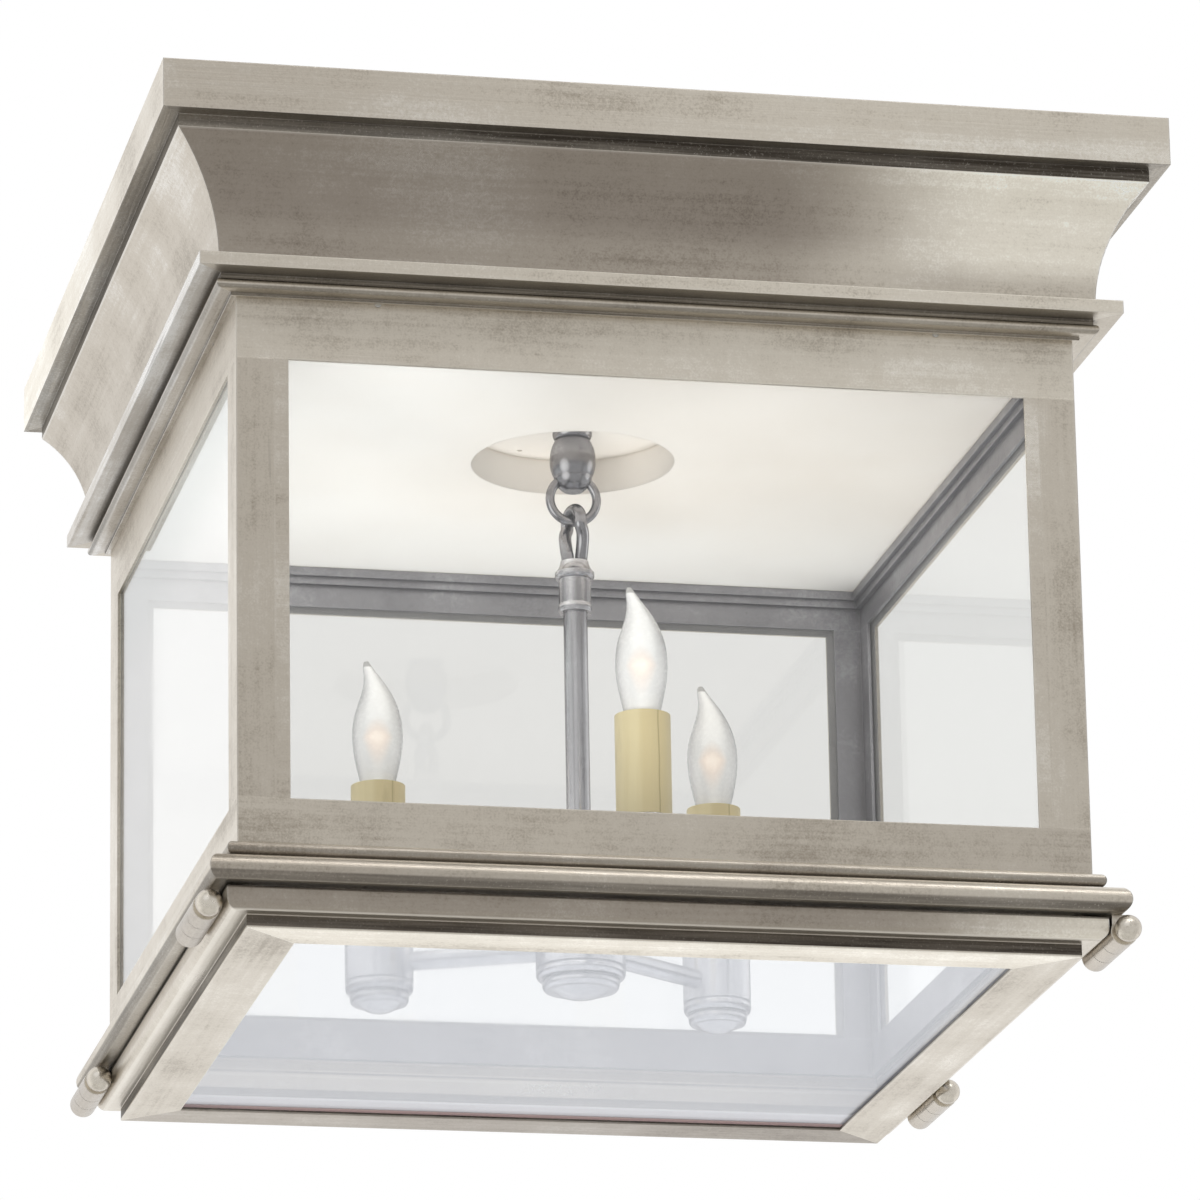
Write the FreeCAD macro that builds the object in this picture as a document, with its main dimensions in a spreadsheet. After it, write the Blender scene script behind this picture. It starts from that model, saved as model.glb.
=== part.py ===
import FreeCAD
import Part
import Sketcher
import os
import re

# Driving dimensions, in millimetres and degrees
sizes = {
    # the glazed body
    "body_width": 360.0,
    "stile_width": 22.0,
    "top_rail_height": 26.0,
    "window_height": 189.0,
    "bottom_rail_height": 20.0,
    "frame_sheet": 1.5,
    "pane_thickness": 3.0,
    "pane_lap": 8.5,
    "pane_gap": 0.3,
    # crown moulding against the ceiling
    "fascia_height": 21.2,
    "fascia_step": 7.5,
    "fillet_height": 5.6,
    "cove_run": 20.0,
    "cove_drop": 50.3,
    "moulding_sheet": 1.6,
    "ceiling_flange": 20.0,
    # neck moulding between crown and body
    "throat_step": 8.5,
    "neck_fascia_reach": 9.5,
    "neck_fascia_height": 5.6,
    "neck_groove_depth": 1.0,
    "neck_groove_height": 2.4,
    "neck_bead_height": 4.2,
    "neck_bead_nose": 2.0,
    "neck_quirk_height": 1.2,
    "neck_quirk_reach": 2.5,
    # strips that hold the side panes
    "retainer_sheet": 1.4,
    "retainer_lip": 6.0,
    "post_lip": 3.0,
    "ledge_depth": 9.0,
    "ledge_height": 4.0,
    "ledge_step": 2.0,
    "ledge_step_height": 3.5,
    # base moulding
    "base_ledge": 3.5,
    "upper_bead_reach": 3.3,
    "upper_bead_height": 5.4,
    "upper_bead_nose": 1.5,
    "base_cove_height": 1.9,
    "base_cove_radius": 7.0,
    "lower_bead_reach": 10.3,
    "lower_bead_height": 10.2,
    "lower_bead_nose": 3.0,
    # bottom door
    "door_gap": 1.2,
    "door_margin": 5.0,
    "door_rail_height": 9.4,
    "door_corner": 4.6,
    "door_return": 15.0,
    "door_sheet": 1.6,
    "tray_step": 9.5,
    "tray_height": 5.6,
    "flange_width": 23.5,
    "door_pane_thickness": 3.0,
    "door_pane_gap": 1.9,
    "stop_width": 8.0,
    "stop_thickness": 1.5,
    # hinges of the door
    "pin_radius": 2.0,
    "pin_clearance": 0.06,
    "pin_chamfer": 0.5,
    "barrel_radius": 5.8,
    "barrel_gap": 0.6,
    "barrel_headroom": 1.4,
    "knuckle_length": 14.7,
    "knuckle_gap": 0.5,
    "hinge_inset": 8.0,
    "hinge_setback": 22.0,
    "leg_inner": 5.2,
    "leg_outer": 1.2,
    "tab_height": 3.6,
    "ball_radius": 5.6,
    "ball_gap": 0.3,
    "clip_clearance": 0.2,
    # strap, nipple and nuts that carry the light
    "crossbar_end": 10.55,
    "crossbar_width": 24.0,
    "crossbar_thickness": 2.5,
    "crossbar_corner": 5.0,
    "box_hole_spacing": 88.9,
    "box_hole_radius": 2.5,
    "nipple_radius": 4.9,
    "nipple_bore": 3.2,
    "nipple_seat": 9.8,
    "thread_gap": 0.08,
    "nut_width": 16.0,
    "nut_thickness": 4.0,
    # ceiling pan
    "pan_lift": 20.5,
    "pan_sheet": 1.2,
    "pan_flange": 12.0,
    "pan_fit": 0.2,
    "recess_radius": 45.0,
    "recess_depth": 16.0,
    "pinhole_radius": 1.1,
    "pinhole_offset": 17.0,
    "pinhole_back": 34.0,
    "screw_radius": 1.5,
    "screw_clearance": 0.1,
    "screw_head_radius": 3.2,
    "screw_head_height": 1.8,
    "screw_spread": 120.0,
    # loop holder, ring and hook
    "cap_radius": 7.9,
    "cap_nose": 0.9,
    "cap_height": 5.2,
    "holder_radius": 10.2,
    "holder_length": 24.1,
    "holder_roof": 1.0,
    "ring_hang": 6.8,
    "ring_radius": 10.5,
    "ring_wire": 2.0,
    "ring_clearance": 0.4,
    "hook_wire": 2.8,
    "hook_bend": 5.55,
    "hook_shank": 2.0,
    "hook_reach": 18.5,
    "hook_spread": 3.0,
    "hook_angle": 20.0,
    "hook_foot_angle": 90.0,
    # collar, coupling and stem
    "collar_radius": 8.7,
    "collar_neck": 6.2,
    "collar_height": 8.3,
    "collar_rim": 1.6,
    "coupling_radius": 7.1,
    "coupling_height": 15.2,
    "coupling_ring": 0.4,
    "coupling_ring_height": 3.8,
    "stem_radius": 5.3,
    "stem_bore": 3.6,
    "stem_seat": 8.0,
    "stem_end": 4.0,
    "socket_fit": 0.06,
    # centre body, arms and light cups
    "cluster_clearance": 16.6,
    "center_radius": 19.6,
    "center_height": 28.0,
    "center_wall": 2.1,
    "center_shoulder": 6.0,
    "arm_rise": 8.5,
    "arm_radius": 4.2,
    "arm_wall": 1.0,
    "arm_entry": 1.4,
    "light_radius": 90.0,
    "light_angle": 36.0,
    "cup_radius": 15.0,
    "cup_height": 40.0,
    "cup_bore": 9.0,
    "cup_floor": 3.0,
    "cup_lip": 0.8,
    "finial_height": 14.0,
    # candle sleeves, lamp holders and bulbs
    "sleeve_radius": 12.0,
    "sleeve_wall": 0.9,
    "sleeve_height": 52.0,
    "sleeve_fit": 0.15,
    "sleeve_seat": 6.0,
    "socket_radius": 10.4,
    "socket_below": 8.0,
    "socket_bore": 6.3,
    "socket_depth": 20.5,
    "bulb_cap_radius": 5.9,
    "bulb_cap_length": 17.5,
    "bulb_contact_radius": 2.6,
    "bulb_contact_length": 2.3,
    "bulb_seat_gap": 0.5,
    "bulb_radius": 11.2,
    "bulb_length": 64.5,
    "bulb_lean": 4.7,
    # how far cutting shapes run past what they cut
    "overrun": 5.0,
}

# Outline of the turned loop holder from its lower end up: radius, height and bend
# radius of the stretch that starts there, as shares of its radius and length
holder_shares = [(0.41, 0.0, 0.9), (0.84, 0.28, 1.45), (1.0, 0.59, 1.7), (0.73, 1.0, 0.0)]

# Points down each leg of the hook: depth as a share of the leg's length, and how far it
# has turned and closed in as a share of the whole change
hook_leg_shares = [(0.0, 0.0), (0.15, 0.21), (0.33, 0.47), (0.55, 0.73), (0.76, 0.9), (1.0, 1.0)]
hook_arch_steps = 6
half_turn_angle = 180

# Bulb from its lower end up: height as a share of its length, radius as a share of its
# greatest radius, and sideways lean as a share of the tip's lean
bulb_shares = [
    (0.0, 0.55, 0.0),
    (0.116, 0.67, 0.0),
    (0.21, 0.79, 0.0),
    (0.33, 0.93, 0.0),
    (0.49, 1.0, 0.0),
    (0.61, 0.92, 0.0),
    (0.73, 0.7, 0.02),
    (0.83, 0.46, 0.22),
    (0.91, 0.28, 0.6),
    (0.97, 0.17, 0.92),
    (1.0, 0.09, 1.0),
]

# Steps of the turned plugs under the cups, from the bottom up: radius and height as
# shares of the cup's radius and of the plug's height
plug_step_shares = [(0.8, 0.28), (0.94, 0.64)]
plug_dome_radius_share = 0.64
plug_nose_share = 0.06

# The four sides of the square and the turn that carries the front piece to each
side_angles = {"front": 0, "right": 90, "back": 180, "left": 270}

# The three lights and their turn from the first one
light_angles = {"right": 0, "left": 120, "front": 240}

doc = FreeCAD.newDocument("ceiling_light")
sheet = doc.addObject("Spreadsheet::Sheet", "Sizes")
for row, (name, number) in enumerate(sizes.items(), start=1):
    sheet.set(f"A{row}", name)
    sheet.set(f"B{row}", str(number))
    sheet.setAlias(f"B{row}", name)
doc.recompute()

# Reaches from the centre to each face, as expressions of the sheet's names
body_half = "(body_width / 2)"
window_half = f"({body_half} - stile_width)"
frame_inner = f"({body_half} - frame_sheet)"
pane_inner = f"({frame_inner} - pane_thickness - pane_gap)"
throat = f"({body_half} + throat_step)"
fillet_half = f"({throat} + cove_run)"
crown_half = f"({fillet_half} + fascia_step)"
neck_half = f"({throat} + neck_fascia_reach)"
groove_half = f"({throat} - neck_groove_depth)"
quirk_half = f"({body_half} + neck_quirk_reach)"
base_inner = f"({body_half} - base_ledge)"
upper_bead_half = f"({body_half} + upper_bead_reach)"
lower_bead_half = f"({body_half} + lower_bead_reach)"
door_half = f"({body_half} + door_margin)"
tray_half = f"({door_half} - tray_step)"
tray_inner = f"({tray_half} - door_sheet)"
door_opening = f"({tray_half} - flange_width)"
pan_half = f"({frame_inner} - pan_fit)"
hinge_reach = f"({door_half} + barrel_gap + barrel_radius)"

# Drops below the ceiling, from the top down
fillet_drop = "(fascia_height + fillet_height)"
neck_drop = f"({fillet_drop} + cove_drop)"
groove_drop = f"({neck_drop} + neck_fascia_height)"
bead_drop = f"({groove_drop} + neck_groove_height)"
quirk_drop = f"({bead_drop} + neck_bead_height)"
body_drop = f"({quirk_drop} + neck_quirk_height)"
window_drop = f"({body_drop} + top_rail_height)"
window_end = f"({window_drop} + window_height)"
base_drop = f"({window_end} + bottom_rail_height)"
base_cove_drop = f"({base_drop} + upper_bead_height)"
lower_bead_drop = f"({base_cove_drop} + base_cove_height)"
base_end = f"({lower_bead_drop} + lower_bead_height)"
door_drop = f"({base_end} + door_gap)"
tray_drop = f"({door_drop} + door_rail_height)"
door_end = f"({tray_drop} + tray_height)"
door_pane_end = f"({door_end} - door_sheet)"
door_pane_drop = f"({door_pane_end} - door_pane_thickness)"
hinge_drop = f"({base_end} + barrel_headroom + barrel_radius)"
pan_drop = f"({window_drop} - pan_lift)"
pan_screw_drop = f"({pan_drop} - pan_flange / 2)"
recess_drop = f"({pan_drop} - recess_depth)"
pane_drop = f"({window_drop} - pane_lap)"
pane_end = f"({window_end} + pane_lap)"
holder_drop = f"({recess_drop} + cap_height)"
holder_end = f"({holder_drop} + holder_length)"
ring_drop = f"({holder_end} - ring_hang + ring_radius)"
hook_drop = f"({ring_drop} + ring_radius)"
collar_drop = f"({hook_drop} + hook_reach)"
coupling_drop = f"({collar_drop} + collar_height)"
stem_drop = f"({coupling_drop} + coupling_height - stem_seat)"
finial_end = f"({door_pane_drop} - cluster_clearance)"
cluster_drop = f"({finial_end} - finial_height)"
center_drop = f"({cluster_drop} - center_height)"
stem_end_drop = f"({center_drop} + center_wall + stem_end)"
arm_drop = f"({cluster_drop} - arm_rise)"
cup_drop = f"({cluster_drop} - cup_height)"
seat_drop = f"({cup_drop} + sleeve_seat)"
sleeve_drop = f"({seat_drop} - sleeve_height)"
socket_drop = f"({sleeve_drop} + socket_below)"
bulb_drop = f"({socket_drop} - bulb_seat_gap)"
nipple_end = f"({holder_drop} + nipple_seat - holder_roof)"
stem_hole = "(stem_radius + socket_fit)"
thread_hole = "(nipple_radius + thread_gap)"
screw_hole = "(screw_radius + screw_clearance)"
pin_hole = "(pin_radius + pin_clearance)"
shoulder_half = "(center_radius - center_shoulder)"


def bound(text):
    """The expression with each of the sheet's names written as a cell of the sheet."""
    return re.sub(r"[a-z][a-z_]*", lambda m: "Sizes." + m[0] if m[0] in sizes else m[0], text)


def value(text):
    """The number that an expression of the sheet's names gives."""
    return float(sheet.evalExpression(text))


def nose(chord, rise):
    """Radius of the arc that stands proud by the rise over a chord of this length."""
    return f"((({chord}) / 2)^2 + ({rise})^2) / (2 * ({rise}))"


def plane(body, role):
    """The origin plane of a body that has this role."""
    return next(item for item in body.Origin.OriginFeatures if item.Role == role)


def new_body(name):
    """An empty body."""
    return doc.addObject("PartDesign::Body", name.replace(" ", "_"))


def new_sketch(body, role, lift=None):
    """A sketch on one of the body's origin planes, or lifted off it along its normal."""
    sketch = body.newObject("Sketcher::SketchObject", body.Name + "_sketch")
    sketch.AttachmentSupport = [(plane(body, role), "")]
    sketch.MapMode = "FlatFace"
    if lift:
        sketch.setExpression("AttachmentOffset.Base.z", bound(lift))
    return sketch


def add_edge(sketch, start, end, bend):
    """A line, or an arc that bulges to the right of travel for a positive bend radius."""
    if not bend:
        index = sketch.addGeometry(Part.LineSegment(start, end), False)
        return index, 1, 2
    chord = end.sub(start)
    left = FreeCAD.Vector(-chord.y, chord.x, 0).normalize()
    rise = max(bend * bend - chord.Length * chord.Length / 4, 0) ** 0.5
    center = start.add(end).multiply(0.5).add(left.multiply(rise if bend > 0 else -rise))
    up = FreeCAD.Vector(0, 0, 1)
    circle = Part.Circle(center, up, abs(bend))
    first, last = (start, end) if bend > 0 else (end, start)
    arc = Part.ArcOfCircle(circle, circle.parameter(first), circle.parameter(last))
    index = sketch.addGeometry(arc, False)
    return (index, 1, 2) if bend > 0 else (index, 2, 1)


def bind_distance(sketch, kind, index, end, text):
    """Hold a point of the sketch at a distance from its origin that an expression gives."""
    number = sketch.addConstraint(Sketcher.Constraint(kind, -1, 1, index, end, value(text)))
    sketch.setExpression(f"Constraints[{number}]", bound(text))


def add_outline(sketch, corners):
    """A closed outline of (x, y) or (x, y, bend radius) corners, all as expressions."""
    points = [FreeCAD.Vector(value(c[0]), value(c[1]), 0) for c in corners]
    bends = [c[2] if len(c) > 2 else "" for c in corners]
    following = points[1:] + points[:1]
    edges = [
        add_edge(sketch, start, end, value(bend) if bend else 0)
        for start, end, bend in zip(points, following, bends)
    ]
    for edge, after in zip(edges, edges[1:] + edges[:1]):
        sketch.addConstraint(Sketcher.Constraint("Coincident", edge[0], edge[2], after[0], after[1]))
    for corner, bend, (index, first, _) in zip(corners, bends, edges):
        bind_distance(sketch, "DistanceX", index, first, corner[0])
        bind_distance(sketch, "DistanceY", index, first, corner[1])
        if bend:
            number = sketch.addConstraint(Sketcher.Constraint("Radius", index, abs(value(bend))))
            sketch.setExpression(f"Constraints[{number}]", bound(f"abs({bend})"))


def add_circle(sketch, x, y, radius):
    """A circle whose centre and radius are expressions."""
    center = FreeCAD.Vector(value(x), value(y), 0)
    circle = Part.Circle(center, FreeCAD.Vector(0, 0, 1), value(radius))
    index = sketch.addGeometry(circle, False)
    bind_distance(sketch, "DistanceX", index, 3, x)
    bind_distance(sketch, "DistanceY", index, 3, y)
    number = sketch.addConstraint(Sketcher.Constraint("Radius", index, value(radius)))
    sketch.setExpression(f"Constraints[{number}]", bound(radius))


def pad(body, sketch, length, side="One side", reverse=False):
    """Material along the sketch's normal."""
    feature = body.newObject("PartDesign::Pad", body.Name + "_pad")
    feature.Profile = sketch
    feature.SideType = side
    feature.Reversed = reverse
    feature.setExpression("Length", bound(length))
    return feature


def pocket(body, sketch, length="", side="Symmetric", reverse=False):
    """A cut along the sketch's normal, right through where no length is given."""
    feature = body.newObject("PartDesign::Pocket", body.Name + "_pocket")
    feature.Profile = sketch
    feature.SideType = side
    feature.Reversed = reverse
    if length:
        feature.setExpression("Length", bound(length))
    else:
        feature.Type = "ThroughAll"
    return feature


def revolve(body, sketch):
    """A full turn of the sketch about its upright axis."""
    feature = body.newObject("PartDesign::Revolution", body.Name + "_turn")
    feature.Profile = sketch
    feature.ReferenceAxis = (sketch, ["V_Axis"])
    feature.Angle = 360
    return feature


def section(corners):
    """Corners given as reach and drop, for a section of the front side."""
    return [(f"-{c[0]}", f"-{c[1]}", *c[2:]) for c in corners]


def turned_outline(corners):
    """Corners given as radius and drop, for a piece turned about the upright axis."""
    return [(c[0], f"-{c[1]}", *c[2:]) for c in corners]


def turn_about_center(piece, degrees):
    """Turn a finished piece about the light's upright axis."""
    piece.Placement = FreeCAD.Placement(
        FreeCAD.Vector(), FreeCAD.Rotation(FreeCAD.Vector(0, 0, 1), degrees)
    )


def strip(name, corners, length, turn, holes=()):
    """A straight length of one section along one side."""
    body = new_body(name)
    sketch = new_sketch(body, "YZ_Plane")
    add_outline(sketch, section(corners))
    for hole in holes:
        add_outline(sketch, section(hole))
    pad(body, sketch, length, "Symmetric")
    turn_about_center(body, turn)
    return body


def mitred(name, corners, reach, turn, holes=()):
    """A length of one section along one side, mitred at both corners of the square."""
    body = strip(name, corners, f"(2 * ({reach} + overrun))", turn, holes)
    tip = f"({reach} + overrun)"
    edge = f"({tip} + overrun)"
    sketch = new_sketch(body, "XY_Plane")
    add_outline(sketch, [
        (f"-{edge}", f"-{edge}"),
        (edge, f"-{edge}"),
        (edge, "overrun"),
        (f"-{edge}", "overrun"),
    ])
    add_outline(sketch, [("0", "0"), (f"-{tip}", f"-{tip}"), (tip, f"-{tip}")])
    pocket(body, sketch)
    return body


def turned(name, corners):
    """A piece turned about the upright axis through the light's centre."""
    body = new_body(name)
    sketch = new_sketch(body, "XZ_Plane")
    add_outline(sketch, turned_outline(corners))
    revolve(body, sketch)
    return body


def group(name, members):
    """Separate solids that share one node."""
    compound = doc.addObject("Part::Compound", name)
    compound.Links = members
    return compound


nodes = {}


def keep(name, piece):
    """Name a finished sub-part after its node."""
    piece.Label = name
    nodes[name] = piece
    return piece


def crown(side, turn):
    """Crown moulding: flange on the ceiling, upright fascia, fillet and large cove."""
    radius = "((cove_run^2 + cove_drop^2) / (2 * cove_run))"
    outer = f"({radius} + moulding_sheet)"
    inner_rise = f"sqrt({outer}^2 - ({outer} - cove_run)^2)"
    flange = f"({crown_half} - ceiling_flange)"
    corners = [
        (flange, "0"),
        (crown_half, "0"),
        (crown_half, "fascia_height"),
        (fillet_half, "fascia_height"),
        (fillet_half, fillet_drop, f"-{radius}"),
        (throat, neck_drop),
        (f"({throat} - moulding_sheet)", neck_drop, outer),
        (f"({fillet_half} - moulding_sheet)", f"({neck_drop} - {inner_rise})"),
        (f"({fillet_half} - moulding_sheet)", "(fascia_height - moulding_sheet)"),
        (f"({crown_half} - moulding_sheet)", "(fascia_height - moulding_sheet)"),
        (f"({crown_half} - moulding_sheet)", "moulding_sheet"),
        (flange, "moulding_sheet"),
    ]
    return mitred(f"crown_{side}", corners, crown_half, turn)


def neck(side, turn):
    """Neck moulding: small fascia, groove, round bead and thin quirk, hollow inside."""
    corners = [
        (body_half, neck_drop),
        (neck_half, neck_drop),
        (neck_half, groove_drop),
        (groove_half, groove_drop),
        (groove_half, bead_drop, nose("neck_bead_height", "neck_bead_nose")),
        (groove_half, quirk_drop),
        (quirk_half, quirk_drop),
        (quirk_half, body_drop),
        (body_half, body_drop),
    ]
    wall_in = f"({body_half} + moulding_sheet)"
    wall_out = f"({groove_half} - moulding_sheet)"
    top = f"({neck_drop} + moulding_sheet)"
    hollow = [
        (wall_in, top),
        (f"({neck_half} - moulding_sheet)", top),
        (f"({neck_half} - moulding_sheet)", f"({groove_drop} - moulding_sheet)"),
        (wall_out, f"({groove_drop} - moulding_sheet)"),
        (wall_out, f"({quirk_drop} - moulding_sheet)"),
        (wall_in, f"({quirk_drop} - moulding_sheet)"),
    ]
    return mitred(f"neck_{side}", corners, neck_half, turn, [hollow])


def face_frame(side, turn):
    """Flat window frame of one side, with its opening and two screw holes for the pan."""
    corners = [
        (frame_inner, neck_drop),
        (body_half, neck_drop),
        (body_half, base_drop),
        (frame_inner, base_drop),
    ]
    body = mitred(f"face_frame_{side}", corners, body_half, turn)
    sketch = new_sketch(body, "XZ_Plane")
    add_outline(sketch, [
        (f"-{window_half}", f"-{window_end}"),
        (window_half, f"-{window_end}"),
        (window_half, f"-{window_drop}"),
        (f"-{window_half}", f"-{window_drop}"),
    ])
    for sign in ("", "-"):
        add_circle(sketch, f"{sign}screw_spread", f"-{pan_screw_drop}", screw_hole)
    pocket(body, sketch)
    return body


def side_glass(side, turn):
    """Clear pane behind one window."""
    corners = [
        (f"({frame_inner} - pane_thickness)", pane_drop),
        (frame_inner, pane_drop),
        (frame_inner, pane_end),
        (f"({frame_inner} - pane_thickness)", pane_end),
    ]
    return strip(f"side_glass_{side}", corners, f"(2 * ({window_half} + pane_lap))", turn)


lip_drop = f"({pane_drop} - pane_gap)"
lip_end = f"({pane_drop} + retainer_lip)"
sill_drop = f"({pane_end} + pane_gap)"
sill_lip = f"({pane_end} - retainer_lip)"


def top_retainer(side, turn):
    """Stepped strip under the pan whose lip holds the top edge of a pane."""
    face = f"({pane_inner} - retainer_sheet)"
    middle = f"({frame_inner} - ledge_depth + ledge_step)"
    ledge_end = f"({pan_drop} + ledge_height)"
    step_end = f"({ledge_end} + ledge_step_height)"
    corners = [
        (f"({frame_inner} - ledge_depth)", pan_drop),
        (frame_inner, pan_drop),
        (frame_inner, lip_drop),
        (pane_inner, lip_drop),
        (pane_inner, lip_end),
        (face, lip_end),
        (face, step_end),
        (middle, step_end),
        (middle, ledge_end),
        (f"({frame_inner} - ledge_depth)", ledge_end),
    ]
    return mitred(f"top_retainer_{side}", corners, body_half, turn)


def bottom_retainer(side, turn):
    """Sill strip whose lip holds the bottom edge of a pane."""
    face = f"({pane_inner} - retainer_sheet)"
    corners = [
        (face, sill_lip),
        (pane_inner, sill_lip),
        (pane_inner, sill_drop),
        (frame_inner, sill_drop),
        (frame_inner, base_drop),
        (face, base_drop),
    ]
    return mitred(f"bottom_retainer_{side}", corners, body_half, turn)


def corner_post(side, turn):
    """Rabbeted upright strip that holds the edges of two panes in one corner."""
    edge = f"({window_half} + pane_lap + pane_gap)"
    lip = f"({window_half} + post_lip)"
    face = f"({pane_inner} - retainer_sheet)"
    corners = [
        (frame_inner, frame_inner),
        (edge, frame_inner),
        (edge, pane_inner),
        (lip, pane_inner),
        (lip, face),
        (face, face),
        (face, lip),
        (pane_inner, lip),
        (pane_inner, edge),
        (frame_inner, edge),
    ]
    body = new_body(f"corner_post_{side}")
    sketch = new_sketch(body, "XY_Plane", f"-{sill_lip}")
    add_outline(sketch, corners)
    pad(body, sketch, f"({sill_lip} - {lip_end})")
    turn_about_center(body, turn)
    return body


def base(side, turn):
    """Base moulding: small bead, cove and larger bead, hollow inside."""
    corners = [
        (base_inner, base_drop),
        (upper_bead_half, base_drop, nose("upper_bead_height", "upper_bead_nose")),
        (upper_bead_half, base_cove_drop, "-base_cove_radius"),
        (lower_bead_half, lower_bead_drop, nose("lower_bead_height", "lower_bead_nose")),
        (lower_bead_half, base_end),
        (base_inner, base_end),
    ]
    wall_in = f"({base_inner} + moulding_sheet)"
    upper = f"({upper_bead_half} - moulding_sheet)"
    lower = f"({lower_bead_half} - moulding_sheet)"
    hollow = [
        (wall_in, f"({base_drop} + moulding_sheet)"),
        (upper, f"({base_drop} + moulding_sheet)"),
        (upper, f"({base_cove_drop} + moulding_sheet)"),
        (lower, f"({lower_bead_drop} + moulding_sheet)"),
        (lower, f"({base_end} - moulding_sheet)"),
        (wall_in, f"({base_end} - moulding_sheet)"),
    ]
    return mitred(f"base_{side}", corners, f"({lower_bead_half} + lower_bead_nose)", turn, [hollow])


def door_rail(side, turn):
    """Folded rail of the door: top return, rounded outer face, step in, tray and flange."""
    bend = f"({tray_drop} - door_corner)"
    round_start = f"({door_half} - door_corner)"
    inner_face = f"({door_half} - door_sheet)"
    back = f"({door_half} - door_return)"
    corners = [
        (back, door_drop),
        (door_half, door_drop),
        (door_half, bend, "door_corner"),
        (round_start, tray_drop),
        (tray_half, tray_drop),
        (tray_half, door_end),
        (door_opening, door_end),
        (door_opening, door_pane_end),
        (tray_inner, door_pane_end),
        (tray_inner, f"({tray_drop} - door_sheet)"),
        (round_start, f"({tray_drop} - door_sheet)", "-(door_corner - door_sheet)"),
        (inner_face, bend),
        (inner_face, f"({door_drop} + door_sheet)"),
        (back, f"({door_drop} + door_sheet)"),
    ]
    return mitred(f"door_rail_{side}", corners, door_half, turn)


def door_stop(side, turn):
    """Flat strip that keeps the door's pane on its flange."""
    top = f"({door_pane_drop} - stop_thickness)"
    corners = [
        (f"({tray_inner} - stop_width)", top),
        (tray_inner, top),
        (tray_inner, door_pane_drop),
        (f"({tray_inner} - stop_width)", door_pane_drop),
    ]
    return mitred(f"door_stop_{side}", corners, door_half, turn)


def square(half):
    """Corners of a square about the centre."""
    return [(f"-{half}", f"-{half}"), (half, f"-{half}"), (half, half), (f"-{half}", half)]


def door_glass():
    """Pane that lies in the door's tray."""
    body = new_body("door_glass")
    sketch = new_sketch(body, "XY_Plane", f"-{door_pane_end}")
    add_outline(sketch, square(f"({tray_inner} - door_pane_gap)"))
    pad(body, sketch, "door_pane_thickness")
    return body


def crossbar():
    """Strap with a threaded middle hole and the two holes for the ceiling box."""
    body = new_body("mounting_crossbar")
    long_half = "(box_hole_spacing / 2 + crossbar_end)"
    short_half = "(crossbar_width / 2)"
    long_flat = f"({long_half} - crossbar_corner)"
    short_flat = f"({short_half} - crossbar_corner)"
    sketch = new_sketch(body, "XY_Plane")
    add_outline(sketch, [
        (f"-{long_flat}", f"-{short_half}"),
        (long_flat, f"-{short_half}", "crossbar_corner"),
        (long_half, f"-{short_flat}"),
        (long_half, short_flat, "crossbar_corner"),
        (long_flat, short_half),
        (f"-{long_flat}", short_half, "crossbar_corner"),
        (f"-{long_half}", short_flat),
        (f"-{long_half}", f"-{short_flat}", "crossbar_corner"),
    ])
    add_circle(sketch, "0", "0", thread_hole)
    add_circle(sketch, "box_hole_spacing / 2", "0", "box_hole_radius")
    add_circle(sketch, "-box_hole_spacing / 2", "0", "box_hole_radius")
    pad(body, sketch, "crossbar_thickness", reverse=True)
    return body


def nut(name, drop):
    """Hexagon nut on the nipple whose upper face is at this drop."""
    body = new_body(name)
    flat = "(nut_width / 2)"
    point = "(nut_width / sqrt(3))"
    half_point = f"({point} / 2)"
    sketch = new_sketch(body, "XY_Plane", f"-{drop}")
    add_outline(sketch, [
        (point, "0"),
        (half_point, flat),
        (f"-{half_point}", flat),
        (f"-{point}", "0"),
        (f"-{half_point}", f"-{flat}"),
        (half_point, f"-{flat}"),
    ])
    add_circle(sketch, "0", "0", thread_hole)
    pad(body, sketch, "nut_thickness", reverse=True)
    return body


def nipple():
    """Threaded tube from the ceiling down into the loop holder."""
    return turned("center_nipple", [
        ("nipple_bore", nipple_end),
        ("nipple_radius", nipple_end),
        ("nipple_radius", "0"),
        ("nipple_bore", "0"),
    ])


def ceiling_pan():
    """Pan with an upturned edge and a round recess pressed up around the loop holder."""
    body = new_body("ceiling_pan")
    sketch = new_sketch(body, "XY_Plane", f"-{pan_drop}")
    add_outline(sketch, square(pan_half))
    pad(body, sketch, "pan_flange")
    sketch = new_sketch(body, "XY_Plane", f"-({pan_drop} - pan_flange)")
    add_outline(sketch, square(f"({pan_half} - pan_sheet)"))
    pocket(body, sketch, "(pan_flange - pan_sheet)", "One side")
    sketch = new_sketch(body, "XY_Plane")
    add_circle(sketch, "0", "0", "recess_radius")
    pocket(body, sketch)
    roof = f"({recess_drop} - pan_sheet)"
    sketch = new_sketch(body, "XZ_Plane")
    add_outline(sketch, turned_outline([
        ("recess_radius", pan_drop),
        ("(recess_radius + pan_sheet)", pan_drop),
        ("(recess_radius + pan_sheet)", roof),
        (thread_hole, roof),
        (thread_hole, recess_drop),
        ("recess_radius", recess_drop),
    ]))
    revolve(body, sketch)
    sketch = new_sketch(body, "XY_Plane")
    add_circle(sketch, "-pinhole_offset", "0", "pinhole_radius")
    add_circle(sketch, "-pinhole_offset", "pinhole_back", "pinhole_radius")
    pocket(body, sketch)
    for role in ("XZ_Plane", "YZ_Plane"):
        sketch = new_sketch(body, role)
        for sign in ("", "-"):
            add_circle(sketch, f"{sign}screw_spread", f"-{pan_screw_drop}", screw_hole)
        pocket(body, sketch)
    return body


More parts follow.
